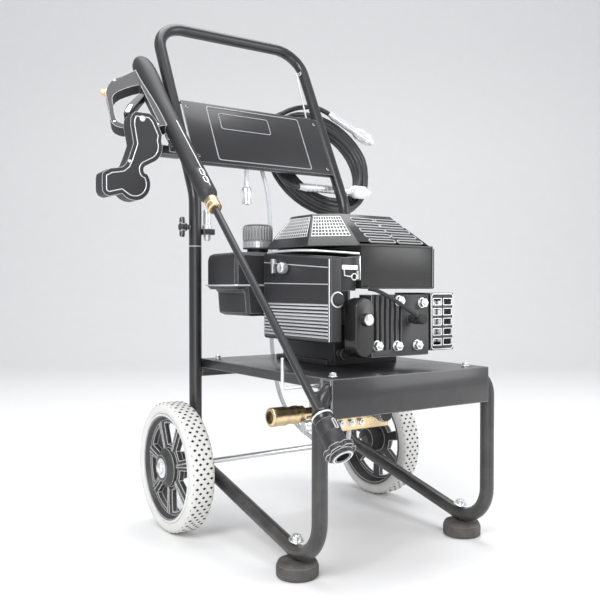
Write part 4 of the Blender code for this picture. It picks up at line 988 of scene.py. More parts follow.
class WASHER_OT_handle(bpy.types.Operator):
    """Bend the handle and dress its panel, clamps, hanger and stay"""
    bl_idname = "washer.handle"
    bl_label = "Handle"

    def execute(self, context):
        coat = coat_finish()
        zinc = zinc_finish()
        x = HALF_TRACK
        corners = [at(-x, HALF_BASE, 0.5506), at(-x, HALF_BASE, RAKE_Z), raked(-x, 0, 0.439),
                   raked(x, 0, 0.439),
                   at(x, HALF_BASE, RAKE_Z), at(x, HALF_BASE, 0.5506)]
        pipe = wire(filleted(corners, [0.080, 0.066, 0.066, 0.080]), TUBE_R, 8)
        piece("handle_bar", pipe, coat, "handle", ["handle_tube"])
        middle = axes(raked(0.0, -0.0104, 0.1545), (1, 0, 0), PANEL_UP)
        border = self.border(middle, 0.118, 0.0680, 0.0009)
        inner = self.border(middle @ Matrix.Translation((-0.030, 0.034, 0.0)), 0.062, 0.0200, 0.0007)
        piece("handle_panel", [refined("billboard_panel", 0.0007)], coat, "handle",
              ["billboard_panel"])
        piece("panel_border", [border, inner], zinc, "handle")
        rivets = [facing(raked(s * 0.164, -0.0100, a),
                         -PANEL_BACK) for s in (-1, 1) for a in (0.092, 0.216)]
        dome = turned([(0.0, 0.0018), (0.0022, 0.0014), (0.0036, 0.0), (0.0, 0.0)], Matrix.Identity(4), 20)
        piece("panel_rivets", repeated("panel_rivets", dome, rivets, coat), coat, "handle")
        self.clamps()
        top = 0.157 + math.sqrt(0.105**2 - (0.205 - x) ** 2) - 0.004 - 0.0006
        behind = 0.058 + 0.018 + 0.012
        bend = filleted([raked(x, TUBE_R + 0.0003, top), raked(x, behind, top),
                         raked(x, behind, top + 0.030)], [0.010])
        tip = turned([(0.0, 0.006), (0.0040, 0.005), (0.0052, 0.002), (0.0052, -0.008), (0.0, -0.008)],
                     facing(raked(x, behind, top + 0.030), PANEL_UP), 28)
        piece("hose_hook", [wire(bend, 0.004, 5), tip], coat, "handle", ["hose_hanger"])
        stay = refined("guide_wire", 0.0)
        ring = wire([raked(0.1750, -0.004 + 0.004 * math.cos(a), 0.372 + 0.004 * math.sin(a))
                     for a in (2 * math.pi * i / 24 for i in range(24))], 0.0012, 3, True)
        piece("wire_stay", [stay, ring], zinc, "handle", ["guide_wire"])
        self.spare_nozzle()
        return {"FINISHED"}

    def border(self, middle, half_x, half_y, half_wide):
        """A thin raised frame on the panel's face, with nothing inside it."""
        outer = rounded_frame(half_x + half_wide, half_y + half_wide, 0.006)
        inner = list(reversed(rounded_frame(half_x - half_wide, half_y - half_wide, 0.005)))
        return plate([outer, inner], 0.0004, middle)

    def clamps(self):
        """Winged clamp knobs on their studs."""
        for side, word in ((-1, "left"), (1, "right")):
            node = f"{word}_clamp_knob"
            low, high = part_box(node)
            root = Vector((high.x if side < 0 else low.x, (low.y + high.y) / 2, (low.z + high.z) / 2))
            way = facing(root, (side, 0, 0))
            hub = turned([(0.0, 0.0220), (0.0050, 0.0220), (0.0072, 0.0208), (0.0085, 0.0185),
                          (0.0085, 0.0085),
                          (0.0078, 0.0070), (0.0050, 0.0066), (0.0050, 0.0), (0.0, 0.0)], way, 36)
            wing = axes(root + Vector((side * 0.0156, 0, 0)), (0, 1, 0), (0, 0, 1))
            outline = arc(0, 0.014, 0.006, 0, 180, 10) + arc(0, -0.014, 0.006, 180, 360, 10)
            wings = rounded(plate([outline], 0.0035, wing), 0.0016, 2)
            piece(f"{word}_wing_knob", [hub, wings], plastic_finish(), f"{word}_clamp",
                  [node])

    def spare_nozzle(self):
        """The ribbed low-pressure nozzle and the clip that it stands in."""
        low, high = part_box("spare_nozzle")
        axis = Vector(((low.x + high.x) / 2, (low.y + high.y) / 2, low.z))
        tall = high.z - low.z
        profile = [(0.0, tall), (0.0068, tall), (0.0078, tall - 0.0012)]
        for i in range(9):
            height = tall - 0.004 - i * 0.0026
            profile += [(0.0085, height), (0.0085, height - 0.0013), (0.0074, height - 0.0015),
                        (0.0074, height - 0.0024)]
        profile += [(0.0075, 0.0330), (0.0105, 0.0300), (0.0105, 0.0240), (0.0075, 0.0240),
                    (0.0075, 0.0040),
                    (0.0050, 0.0), (0.0, 0.0)]
        way = facing(axis, (0, 0, 1))
        piece("spare_tip", turned(profile, way, 40), sleeve_finish(), "spare", ["spare_nozzle"])
        piece("tip_clip", [refined("nozzle_clip", 0.0012)], plastic_finish(), "handle",
              ["nozzle_clip"])


# ---- wheels -----------------------------------------------------------------------------------
class WASHER_OT_wheels(bpy.types.Operator):
    """Cast the spoked wheels and lay their tread on the tyres as thin dark sheets of painted shade"""
    bl_idname = "washer.wheels"
    bl_label = "Wheels"

    def execute(self, context):
        sizes = context.scene.washer_sizes
        for side, word in ((-1, "left"), (1, "right")):
            low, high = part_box(f"{word}_tyre")
            centre = (low + high) / 2
            radius = (high.z - low.z) / 2
            half = (high.x - low.x) / 2
            way = facing(centre, (side, 0, 0))
            inside = 0.1033
            profile = [(inside, half - 0.004), (inside + 0.002, half - 0.0015),
                       (inside + 0.006, half - 0.0004),
                       (inside + 0.010, half), (radius - 0.008, half - 0.0006),
                       (radius - 0.004, half - 0.0030),
                       (radius - 0.0012, half - 0.0065), (radius, half - 0.0110)]
            profile += [(r, -z) for r, z in reversed(profile)] + [profile[0]]
            piece(f"{word}_wheel_tyre", turned(profile, way, 140), tyre_finish(), f"{word}_wheel",
                  [f"{word}_tyre"])
            self.tread(word, way, radius, half, sizes)
            self.rim(word, way, half)
        return {"FINISHED"}

    def tread(self, word, way, radius, half, sizes):
        """Rows of lozenge pits round the tread, staggered, with a notch at each shoulder; pits and notches
        are thin dark sheets on the tyre, painted shade where the recesses would be.
        """
        outline = [(0.0, 0.0036), (0.0027, 0.0), (0.0, -0.0036), (-0.0027, 0.0)]
        pit = plate([outline], 0.0005, Matrix.Identity(4))
        rows = sizes.tread_columns
        count = sizes.tread_count
        spots = []
        for row in range(rows):
            z = (row - (rows - 1) / 2) * (2 * half - 0.022) / (rows - 1)
            for i in range(count):
                turn = Matrix.Rotation(2 * math.pi * (i + 0.5 * (row % 2)) / count, 4, "Z")
                spots.append(way @ turn @ Matrix.Translation((radius - 0.00035, 0,
                                                              z)) @ Matrix.Rotation(math.pi / 2, 4, "Y")
                             @ Matrix.Rotation(math.pi / 2, 4, "Z"))
        pits = repeated("pits", pit, spots, pit_shade_finish())
        groove = rounded(block((-0.0010, -0.0014, -0.0006), (0.0010, 0.0014, 0.0006), Matrix.Identity(4)),
                         0.0, 1)
        notches = []
        for end in (-1, 1):
            for i in range(count):
                turn = Matrix.Rotation(2 * math.pi * (i + 0.5) / count, 4, "Z")
                notches.append(way @ turn @ Matrix.Translation((radius - 0.0030, 0, end * (half - 0.0052)))
                               @ Matrix.Rotation(end * math.radians(-45), 4,
                                                 "Y") @ Matrix.Diagonal((2.2, 1.2, 1.0, 1.0)))
        cuts = repeated("notches", groove, notches, pit_shade_finish())
        piece(f"{word}_wheel_tread", [pits, cuts], pit_shade_finish(), f"{word}_wheel")

    def rim(self, word, way, half):
        """The moulded wheel: barrel, lip, seven forked spokes and a stepped hub."""
        dark = rim_finish()
        face = refined(f"{word}_rim", 0.0014, 2, 1.0)
        lip = turned([(0.1030, half - 0.0030), (0.1012, half - 0.0016), (0.0990, half - 0.0022),
                      (0.0984, half - 0.0045),
                      (0.1000, half - 0.0062), (0.1030, half - 0.0062), (0.1030, half - 0.0030)], way, 120)
        piece(f"{word}_wheel_rim", [face], dark, f"{word}_wheel", [f"{word}_rim"])
        piece(f"{word}_rim_lip", [lip], sleeve_finish(), f"{word}_wheel")
        web = half - 0.014
        rib = rounded(block((0.0360, -0.0016, web - 0.0012), (0.0890, 0.0016, web + 0.0042),
                            Matrix.Identity(4)), 0.0007, 1)
        turns = []
        for i in range(7):
            for apart in (-1, 1):
                turns.append(way @ Matrix.Rotation(math.radians(360 * (i + 0.5) / 7 + 90 + apart * 5.2), 4,
                                                   "Z")
                             @ Matrix.Rotation(math.radians(apart * -2.5), 4, "Z"))
        ribs = repeated("spoke_ribs", rib, turns, dark)
        top = half + 0.0038
        hub = turned([(0.0112, top + 0.0002), (0.0112, top + 0.0010), (0.0150, top + 0.0012),
                      (0.0165, top + 0.0004),
                      (0.0230, top - 0.0002), (0.0245, top - 0.0012), (0.0245, top - 0.0060),
                      (0.0112, top - 0.0060),
                      (0.0112, top + 0.0002)], way, 72)
        ring = turned([(0.0360, web + 0.0046), (0.0340, web + 0.0056), (0.0320, web + 0.0046),
                       (0.0320, web),
                       (0.0360, web), (0.0360, web + 0.0046)], way, 72)
        piece(f"{word}_spoke_ribs", [ribs], dark, f"{word}_wheel")
        piece(f"{word}_hub_rings", [hub, ring], sleeve_finish(), f"{word}_wheel")


# ---- gun and lance ----------------------------------------------------------------------------
class WASHER_OT_gun(bpy.types.Operator):
    """Mould the trigger gun, its lance and nozzle, and the holster that carries them"""
    bl_idname = "washer.gun"
    bl_label = "Gun and lance"

    def execute(self, context):
        black = plastic_finish()
        barrel = GUN @ Matrix.Rotation(math.pi / 2, 4, "Y")
        profile = [(0.0, 0.0), (0.0105, 0.0), (0.0125, -0.0016), (0.0168, -0.0110), (0.0175, -0.0135),
                   (0.0175, -0.0700),
                   (0.0170, -0.0712), (0.0170, -0.0736), (0.0175, -0.0748), (0.0175, -0.2700),
                   (0.0186, -0.3050),
                   (0.0203, -0.3350), (0.0221, -0.3620), (0.0232, -0.3880), (0.0233, -0.4130),
                   (0.0226, -0.4300),
                   (0.0200, -0.4470), (0.0155, -0.4580), (0.0085, -0.4645), (0.0, -0.4660)]
        shell = turned(profile, barrel, 64)
        outer = [(-0.424, 0.010), (-0.414, 0.026), (-0.404, 0.048), (-0.400, 0.060), (-0.398, 0.070),
                 (-0.390, 0.080),
                 (-0.380, 0.088), (-0.367, 0.095), (-0.354, 0.100), (-0.330, 0.103), (-0.306, 0.106),
                 (-0.286, 0.110),
                 (-0.266, 0.113), (-0.254, 0.1128), (-0.246, 0.110), (-0.239, 0.105), (-0.234, 0.098),
                 (-0.228, 0.080),
                 (-0.222, 0.060), (-0.219, 0.034), (-0.218, 0.006)]
        inner = [(-0.364, 0.026), (-0.362, 0.044), (-0.358, 0.060), (-0.353, 0.074), (-0.346, 0.084),
                 (-0.336, 0.091),
                 (-0.320, 0.095), (-0.306, 0.096), (-0.286, 0.100), (-0.268, 0.102), (-0.258, 0.1015),
                 (-0.250, 0.098),
                 (-0.243, 0.088), (-0.237, 0.074), (-0.232, 0.056), (-0.230, 0.026)]
        grip = rounded(plate([outer, inner], 0.0108, GUN), 0.0042, 3)
        piece("gun_body", [shell, grip], black, "gun", ["gun_shell"])
        seam = [GUN @ Vector((-0.018 - 0.0045 * i, 0.0176 * math.sin(a), 0.0176 * math.cos(a)))
                for i, a in ((i, math.radians(200)) for i in range(46))]
        ridge = wire(seam, 0.0009, 3)
        vents = [axes(GUN @ Vector((x, 0.0174 * math.sin(a), -0.0174 * math.cos(a))), FORWARD,
                      GUN.to_3x3() @ Vector((0, math.cos(a), math.sin(a))))
                 for x, a in ((-0.036, math.radians(-12)), (-0.058, math.radians(-12)))]
        oval = arc(0.005, 0, 0.0042, -90, 90, 8) + arc(-0.005, 0, 0.0042, 90, 270, 8)
        hole = list(reversed(arc(0.005, 0, 0.0030, -90, 90, 8) + arc(-0.005, 0, 0.0030, 90, 270, 8)))
        rings = repeated("vent_rings", plate([oval, hole], 0.0010, Matrix.Identity(4)), vents,
                         sleeve_finish())
        piece("gun_trim", [ridge, rings], sleeve_finish(), "gun")
        rib = rounded(block((-0.0012, -0.0010, -0.0112), (0.0012, 0.0010, 0.0112), Matrix.Identity(4)),
                      0.0005, 1)
        line = [Vector((-0.398 + 0.0035 * i, 0.056 + 0.0062 * i, 0.0)) for i in range(4)]
        ribs = repeated("grip_ribs", rib, [GUN @ Matrix.Translation(p) for p in line], black)
        screws = [facing(GUN @ Vector((x, y, -0.0106)), -(GUN.to_3x3() @ Vector((0, 0, 1))))
                  for x, y in ((-0.392, 0.072), (-0.258, 0.107), (-0.226, 0.030))]
        screw = turned([(0.0, 0.0008), (0.0022, 0.0010), (0.0028, 0.0004), (0.0028, 0.0), (0.0, 0.0)],
                       Matrix.Identity(4), 20)
        heads = repeated("grip_screws", screw, screws, zinc_finish())
        piece("grip_ribs", [ribs], black, "gun")
        piece("grip_screws", [heads], zinc_finish(), "gun")
        piece("gun_thread", [self.inlet()], brass_finish(), "gun", ["gun_inlet"])
        piece("trigger_lever", [refined("trigger", 0.0014, 2)], gloss_finish(), "gun_trigger",
              ["trigger"])
        piece("trigger_latch", [refined("trigger_lock", 0.0004, 1)], zinc_finish(), "gun_trigger_lock",
              ["trigger_lock"])
        self.lance(barrel)
        self.holster()
        return {"FINISHED"}

    def inlet(self):
        """The gun's threaded hose inlet."""
        first = Vector((-0.380, 0.088, 0.0))
        last = Vector((-0.354, 0.100, 0.0))
        way = Vector((0, 0, 1)).cross(last - first).normalized()
        profile = [(0.0, 0.012), (0.0062, 0.012)]
        for i in range(4):
            height = 0.0112 - i * 0.0016
            profile += [(0.0075, height), (0.0075, height - 0.0006), (0.0068, height - 0.0010)]
        profile += [(0.0088, 0.0040), (0.0090, 0.0036), (0.0090, 0.0003), (0.0, 0.0003)]
        return turned(profile, GUN @ facing((first + last) / 2, way), 36)

    def lance(self, barrel):
        """Collar nut, lance tube, nozzle barrel and the lobed spray ring."""
        nut = [(0.0069, 0.0265), (0.0112, 0.0265), (0.0130, 0.0250), (0.0130, 0.0190), (0.0118, 0.0182),
               (0.0118, 0.0140),
               (0.0130, 0.0132), (0.0130, 0.0022), (0.0116, 0.0003), (0.0069, 0.0003), (0.0069, 0.0265)]
        piece("collar_nut", turned(nut, barrel, 48), brass_finish(), "gun_collar",
              ["lance_collar"])
        pipe = turned([(0.0, 0.480), (0.0065, 0.480), (0.0065, 0.0006), (0.0, 0.0006)], barrel, 40)
        piece("lance_pipe", pipe, coat_finish(), "gun", ["lance_tube"])
        body = turned([(0.0, 0.540), (0.0086, 0.540), (0.0100, 0.5386), (0.0100, 0.4990), (0.0148, 0.4990),
                       (0.0155, 0.4980), (0.0155, 0.4840), (0.0146, 0.4822), (0.0125, 0.4803),
                       (0.0, 0.4803)], barrel, 56)
        piece("nozzle_body", body, gloss_finish(), "gun", ["nozzle_barrel"])
        sleeve = [(0.0104, 0.5600), (0.0160, 0.5600), (0.0170, 0.5588), (0.0170, 0.5220), (0.0163, 0.5208),
                  (0.0163, 0.5196), (0.0170, 0.5184), (0.0170, 0.5018), (0.0155, 0.4995), (0.0104, 0.4995),
                  (0.0104, 0.5600)]
        outline = []
        for i in range(6):
            middle = 60 * i
            outline += arc(0, 0, 0.0235, middle - 19, middle + 19, 8)
            outline += arc(0, 0, 0.0196, middle + 25, middle + 35, 2)
        hole = list(reversed(arc(0, 0, 0.0130, 0, 352, 44)))
        lobes = rounded(plate([outline, hole], 0.0040,
                              axes(GUN @ Vector((0.549, 0, 0)), GUN.to_3x3() @ Vector((0, 1, 0)),
                                                             GUN.to_3x3() @ Vector((0, 0, 1)))), 0.0010, 2)
        piece("spray_ring", [turned(sleeve, barrel, 56), lobes], plastic_finish(), "nozzle",
              ["nozzle_collar"])
        out = math.radians(-25)
        mark = axes(GUN @ Vector((0.513, 0.0170 * math.sin(out), -0.0170 * math.cos(out))), FORWARD,
                    GUN.to_3x3() @ Vector((0, math.cos(out), math.sin(out))))
        pill = arc(0.0060, 0, 0.0030, -90, 90, 8) + arc(-0.0060, 0, 0.0030, 90, 270, 8)
        inner = list(reversed(arc(0.0060, 0, 0.0016, -90, 90, 8) + arc(-0.0060, 0, 0.0016, 90, 270, 8)))
        face = turned([(0.0128, 0.5604), (0.0150, 0.5606), (0.0152, 0.5598), (0.0128, 0.5596),
                       (0.0128, 0.5604)], barrel, 48)
        band = turned([(0.0155, 0.4905), (0.0163, 0.4900), (0.0163, 0.4880), (0.0155, 0.4875),
                       (0.0155, 0.4905)], barrel, 56)
        piece("spray_marks", [plate([pill, inner], 0.0012, mark), face], sleeve_finish(), "nozzle")
        piece("nozzle_band", band, sleeve_finish(), "gun")

    def holster(self):
        """The moulded holster: shield with a double rim, arm and saddle."""
        black = plastic_finish()
        middle_y = 0.207
        seat = axes(at(-0.300, middle_y, 0.700), (1, 0, 0), (0, 0, 1))
        outline = [(-0.034, 0.072), (-0.0335, 0.084), (-0.030, 0.092), (-0.024, 0.098), (0.004, 0.098),
                   (0.012, 0.093),
                   (0.018, 0.086), (0.030, 0.060)]
        outline += arc(-0.003, 0.036, 0.0335, 20, -58, 12)
        outline += arc(0.001, -0.010, 0.009, 130, 235, 8)
        outline += arc(-0.026, -0.037, 0.032, 40, -140, 18)
        outline += [(-0.063, -0.061), (-0.074, -0.064), (-0.081, -0.0625), (-0.085, -0.060),
                    (-0.0885, -0.054),
                    (-0.089, -0.048), (-0.089, -0.028), (-0.0875, -0.0215), (-0.083, -0.018),
                    (-0.072, -0.012),
                    (-0.058, -0.0095), (-0.050, -0.008), (-0.043, -0.002), (-0.037, 0.012), (-0.028, 0.038)]
        shield = rounded(plate([outline], 0.017, seat), 0.0045, 3)
        rim = [Vector((x, y, 0.0)) for x, y in outline]
        inset = []
        for before, here, after in zip(rim[-1:] + rim[:-1], rim, rim[1:] + rim[:1]):
            way = (after - before).normalized()
            inset.append(here + Vector((0, 0, 1)).cross(way) * -0.0085)
        line = wire([seat @ (p + Vector((0, 0, 0.0168))) for p in inset], 0.0011, 3, True)
        arm_z = RAKE_Z + 0.087
        tube_y = HALF_BASE + (arm_z - RAKE_Z) * math.tan(RAKE)
        arm = rounded(block((-0.302, middle_y + 0.015, arm_z - 0.009),
                            (-HALF_TRACK - TUBE_R - 0.0003, tube_y + 0.008,
                                                                       arm_z + 0.009)), 0.003, 2)
        saddle = axes(GUN @ Vector((-0.196, 0, 0)), (1, 0, 0), UNDER)
        cradle = rounded(plate([arc(0, 0, 0.0228, 15, 165, 18) + arc(0, 0, 0.0183, 165, 15, 18)], 0.010,
                               saddle), 0.0012, 2)
        web = rounded(block((-0.008, 0.0193, -0.008), (0.008, 0.0403, 0.008), saddle), 0.0015, 2)
        piece("holster_body", [shield, arm, cradle, web], black, "handle", ["gun_holster"])
        pin = turned([(0.0, 0.0186), (0.0026, 0.0184), (0.0034, 0.0172), (0.0034, 0.0160), (0.0, 0.0160)],
                     seat @ Matrix.Translation((-0.036, 0.004, 0.0)), 24)
        bolt = turned([(0.0, 0.0196), (0.0040, 0.0194), (0.0056, 0.0180), (0.0056, 0.0160), (0.0, 0.0160)],
                      seat @ Matrix.Translation((-0.010, 0.086, 0.0)), 24)
        piece("holster_trim", [line, pin, bolt], sleeve_finish(), "handle")


# ---- engine -----------------------------------------------------------------------------------
class WASHER_OT_engine(bpy.types.Operator):
    """Dress the engine: hood, covers, head, muffler, tank and controls"""
    bl_idname = "washer.engine"
    bl_label = "Engine"

    def execute(self, context):
        self.hood()
        self.side_cover(context.scene.washer_sizes)
        self.castings(context.scene.washer_sizes)
        self.exhaust()
        self.tank()
        self.controls()
        return {"FINISHED"}

    def hood(self):
        """The gloss hood with its slotted roof, mesh vent and trim band."""
        gloss = gloss_finish()
        bright = sleeve_finish()
        piece("hood", [refined("engine_hood", 0.0045, 3, 3.0)], gloss, "frame",
              ["engine_hood"])
        rim_z, top_z = 0.540, 0.603
        front_low = Vector((0.124, -0.138, rim_z))
        front_top = Vector((0.090, -0.056, top_z))
        near_low = Vector((-0.050, -0.138, rim_z))
        near_top = Vector((-0.030, -0.056, top_z))

        def on_front(u, v):
            low = near_low.lerp(front_low, u)
            high = near_top.lerp(front_top, u)
            return low.lerp(high, v)

        across = (front_low - near_low).normalized()
        up_front = (on_front(0.5, 1) - on_front(0.5, 0)).normalized()
        slots = []
        for column in range(2):
            for row in range(5):
                centre = on_front(0.36 + 0.40 * column, 0.16 + row * 0.165)
                slots.append(axes(ORIGIN + centre, across, up_front) @ Matrix.Translation((0, 0, 0.0004)))
        outer = rounded_frame(0.0300, 0.0050, 0.0035, 4)
        hole = list(reversed(rounded_frame(0.0285, 0.0034, 0.0025, 4)))
        frames = repeated("roof_slots",
                          rounded(plate([outer, hole], 0.0012, Matrix.Identity(4)), 0.0004, 1), slots,
                          bright)
        # Painted shade: thin dark sheets inside the bright slot frames stand for the shade within the
        # roof's slots.
        dark = repeated("slot_floors",
                        plate([rounded_frame(0.0288, 0.0038, 0.0028, 4)], 0.0003, Matrix.Identity(4)),
                        slots, pit_shade_finish())
        piece("roof_slots", frames, bright, "frame")
        piece("slot_floors", dark, pit_shade_finish(), "frame")
        back_low = Vector((-0.112, -0.070, rim_z))
        back_top = Vector((-0.066, -0.020, top_z))
        far_low = Vector((-0.112, 0.070, rim_z))
        far_top = Vector((-0.066, 0.050, top_z))
        self.mesh_vent(back_low, back_top, far_low, far_top, near_low, near_top, bright)
        skirt = [at(-0.1135, 0.071, 0.541), at(-0.1135, -0.0705, 0.541), at(-0.0508, -0.1392, 0.541),
                 at(0.1248, -0.1392, 0.541), at(0.1512, -0.0602, 0.541), at(0.1512, 0.1004, 0.541)]
        flange = [at(-0.0472, -0.1394, 0.4668), at(0.1252, -0.1394, 0.4668), at(0.1252, 0.1292, 0.4668)]
        side = [at(0.1252, -0.1392, 0.4668), at(0.1252, -0.1392, 0.5390)]
        lip = [wire(filleted(skirt, [0.010] * 4), 0.0014, 3), wire(filleted(flange, [0.004]), 0.0016, 3),
               wire(side, 0.0010, 3)]
        piece("hood_lips", lip, gloss, "frame")
        band = [at(-0.1125, 0.060, 0.5330), at(-0.1145, 0.0, 0.5345), at(-0.1130, -0.070, 0.5330),
                at(-0.0820, -0.104, 0.5300), at(-0.0500, -0.1390, 0.5265)]
        piece("hood_trim", wire(smooth_route(band, 0.006), 0.0022, 4), bright, "frame")

    def mesh_vent(self, low_a, top_a, low_b, top_b, low_c, top_c, bright):
        """Bars laid over the left slope of the roof, where air is drawn in."""
        bars = []
        for panel_low, panel_top, other_low, other_top, span in ((low_b, top_b, low_a, top_a, 15),
                                                                 (low_a, top_a, low_c, top_c, 12)):
            centre = (panel_low + panel_top + other_low + other_top) / 4
            normal = (other_low - panel_low).cross(panel_top - panel_low).normalized()
            if normal.dot(centre - Vector((0.03, 0.01, 0.50))) < 0:
                normal.negate()

            def on(u, v):
                spot = panel_low.lerp(other_low, u).lerp(panel_top.lerp(other_top, u), v)
                return ORIGIN + spot + normal * 0.0006

            for i in range(span):
                u = 0.06 + 0.88 * i / (span - 1)
                bars.append(wire([on(u, 0.30), on(u, 0.90)], 0.0007, 2))
            for j in range(7):
                v = 0.30 + 0.10 * j
                bars.append(wire([on(0.06, v), on(0.94, v)], 0.0008, 2))
        piece("mesh_vent", bars, bright, "frame")

    def side_cover(self, sizes):
        """The louvred side box with seams, louvres and a lever bracket."""
        low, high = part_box("louvre_cover")
        piece("side_cover", [refined("louvre_cover", 0.0030, 3, 2.0)], plastic_finish(), "frame",
              ["louvre_cover"])
        face = low.x
        front = low.y + 0.005
        back = high.y - 0.005
        count = int((0.058) / sizes.louvre) + 1
        slat_low = low.z + 0.008
        blade = [(0.0, 0.0), (0.0026, 0.0006), (0.0030, 0.0016), (0.0, 0.0040)]
        slat = plate([blade], (back - front) / 2, Matrix.Identity(4))
        places = [axes((face + 0.0008, (front + back) / 2, slat_low + sizes.louvre * i), (-1, 0, 0),
                       (0, 0, 1))
                  for i in range(count)]
        piece("side_louvres", repeated("side_louvres", slat, places, sleeve_finish()), sleeve_finish(),
              "frame")
        seams = [[(face - 0.0002, front, 0.5015), (face - 0.0002, back, 0.5150)],
                 [(face - 0.0002, front, 0.4730), (face - 0.0002, back, 0.4760)]]
        lines = [wire([Vector(a), Vector(b)], 0.0009, 3) for a, b in seams]
        lines.append(wire([Vector((face - 0.0002, front - 0.004, low.z + 0.004)),
                           Vector((face - 0.0002, front - 0.004, high.z - 0.020))],
                          0.0010, 3))
        piece("cover_seams", lines, sleeve_finish(), "frame")

    def castings(self, sizes):
        """Block, head, rocker cover, carburettor, plug and the head's bolts."""
        dark = dark_cast_finish()
        zinc = zinc_finish()
        piece("crankcase", [refined("engine_block", 0.0016, 2, 2.0)], dark, "frame",
              ["engine_block"])
        piece("finned_head", [refined("cylinder_head", 0.0010, 1, 2.0)], dark, "frame",
              ["cylinder_head"])
        piece("rocker_box", [refined("rocker_cover", 0.0022, 2, 2.0)], gloss_finish(), "frame",
              ["rocker_cover"])
        low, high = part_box("rocker_cover")
        middle = (low + high) / 2
        seat = axes((middle.x, low.y + 0.0175, middle.z), (1, 0, 0), (0, 0, 1))
        half = (high.z - low.z) / 2
        outer = rounded_frame(0.0135, half - 0.008, 0.010)
        inner = list(reversed(rounded_frame(0.0122, half - 0.0093, 0.009)))
        ring = plate([outer, inner], 0.0010, seat)
        piece("rocker_rim", ring, sleeve_finish(), "frame")
        cap = turned([(0.0, 0.0035), (0.0070, 0.0035), (0.0095, 0.0020), (0.0100, 0.0), (0.0, 0.0)],
                     facing((middle.x, low.y + 0.0003, middle.z + 0.014), (0, -1, 0)), 36)
        piece("rocker_bolt", cap, zinc, "frame")
        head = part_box("cylinder_head")
        spots = [(0.030, 0.444), (0.086, 0.440), (-0.020, 0.366), (0.026, 0.364), (0.074, 0.364)]
        places = [facing(at(x, 0, z) + Vector((0, head[0].y - ORIGIN.y + 0.0006, 0)), (0, -1, 0)) for x,
                  z in spots]
        bolts = repeated("head_bolts", hex_bolt(sizes.bolt, 0.008, 1.15), places, zinc)
        piece("head_bolts", bolts, zinc, "frame")
        piece("carburettor_body", [refined("carburettor", 0.0018, 2)], dark, "frame",
              ["carburettor"])
        self.linkage(zinc)
        low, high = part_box("spark_plug")
        root = Vector(((low.x + high.x) / 2, high.y, (low.z + high.z) / 2))
        boot = turned([(0.0, 0.0360), (0.0070, 0.0358), (0.0088, 0.0345), (0.0095, 0.0320),
                       (0.0095, 0.0220),
                       (0.0088, 0.0210), (0.0088, 0.0190), (0.0095, 0.0180), (0.0095, 0.0105),
                       (0.0080, 0.0080),
                       (0.0080, 0.0), (0.0, 0.0)], facing(root, (0, -1, 0)), 40)
        piece("plug_boot", boot, rubber_finish(), "frame", ["spark_plug"])
        route = [at(-0.034, -0.144, 0.4655), at(-0.026, -0.158, 0.462), at(0.002, -0.170, 0.446),
                 at(0.030, -0.177, 0.428), at(0.0480, -0.1775, 0.4185)]
        piece("ignition_lead", wire(smooth_route(route, 0.004), 0.0036, 5), rubber_finish(), "frame",
              ["plug_lead"])

    def linkage(self, zinc):
        """Governor plate, springs and small levers between the covers."""
        panel = rounded(block((-0.0490, -0.1390, 0.4800), (-0.0470, -0.1000, 0.5230)), 0.0008, 1)
        arm = rounded(block((-0.0900, -0.1420, 0.4980), (-0.0560, -0.1400, 0.5060)), 0.0007, 1)
        stem = rod(at(-0.0720, -0.1410, 0.5020), at(-0.0720, -0.1280, 0.5020), 0.0030, 20)
        ring = wire([at(-0.0640 + 0.0055 * math.cos(a), -0.1415, 0.4860 + 0.0055 * math.sin(a))
                     for a in (2 * math.pi * i / 20 for i in range(20))], 0.0011, 3, True)
        link = wire([at(-0.0860, -0.1412, 0.5020), at(-0.0850, -0.1414, 0.4880),
                     at(-0.0700, -0.1416, 0.4860)], 0.0011, 3)
        turns = 9
        spring = [at(-0.0560 + 0.0020 * math.cos(a), -0.1412 + 0.0020 * math.sin(a),
                     0.4820 + 0.0016 * a / (2 * math.pi))
                  for a in (2 * math.pi * turns * i / 108 for i in range(109))]
        piece("throttle_linkage", [panel, arm, stem, ring, link, wire(spring, 0.0005, 2)], zinc, "frame")

    def exhaust(self):
        """Muffler can and its slotted guard."""
        piece("exhaust_guard", [refined("muffler_guard", 0.0008, 1, 2.0)], coat_finish(), "frame",
              ["muffler_guard"])
        piece("exhaust_can", [refined("muffler", 0.0030, 2)], steel_finish(), "frame", ["muffler"])
        low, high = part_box("muffler_guard")
        y = low.y - 0.0003
        outer = rounded_frame((high.x - low.x) / 2 - 0.0015, (high.z - low.z) / 2 - 0.0015, 0.006)
        inner = list(reversed(rounded_frame((high.x - low.x) / 2 - 0.0028, (high.z - low.z) / 2 - 0.0028,
                                            0.005)))
        seat = axes(((low.x + high.x) / 2, y, (low.z + high.z) / 2), (1, 0, 0), (0, 0, 1))
        frames = [plate([outer, inner], 0.0004, seat)]
        for row in range(5):
            z = low.z + 0.0155 + row * 0.0185
            for x, half in ((0.016, 0.010), (0.042, 0.010)):
                hole_out = rounded_frame(half + 0.0012, 0.0067, 0.002, 3)
                hole_in = list(reversed(rounded_frame(half, 0.0055, 0.0015, 3)))
                frames.append(plate([hole_out, hole_in], 0.0005,
                                    axes((low.x + x, y, z), (1, 0, 0), (0, 0, 1))))
        piece("guard_rims", frames, sleeve_finish(), "frame")

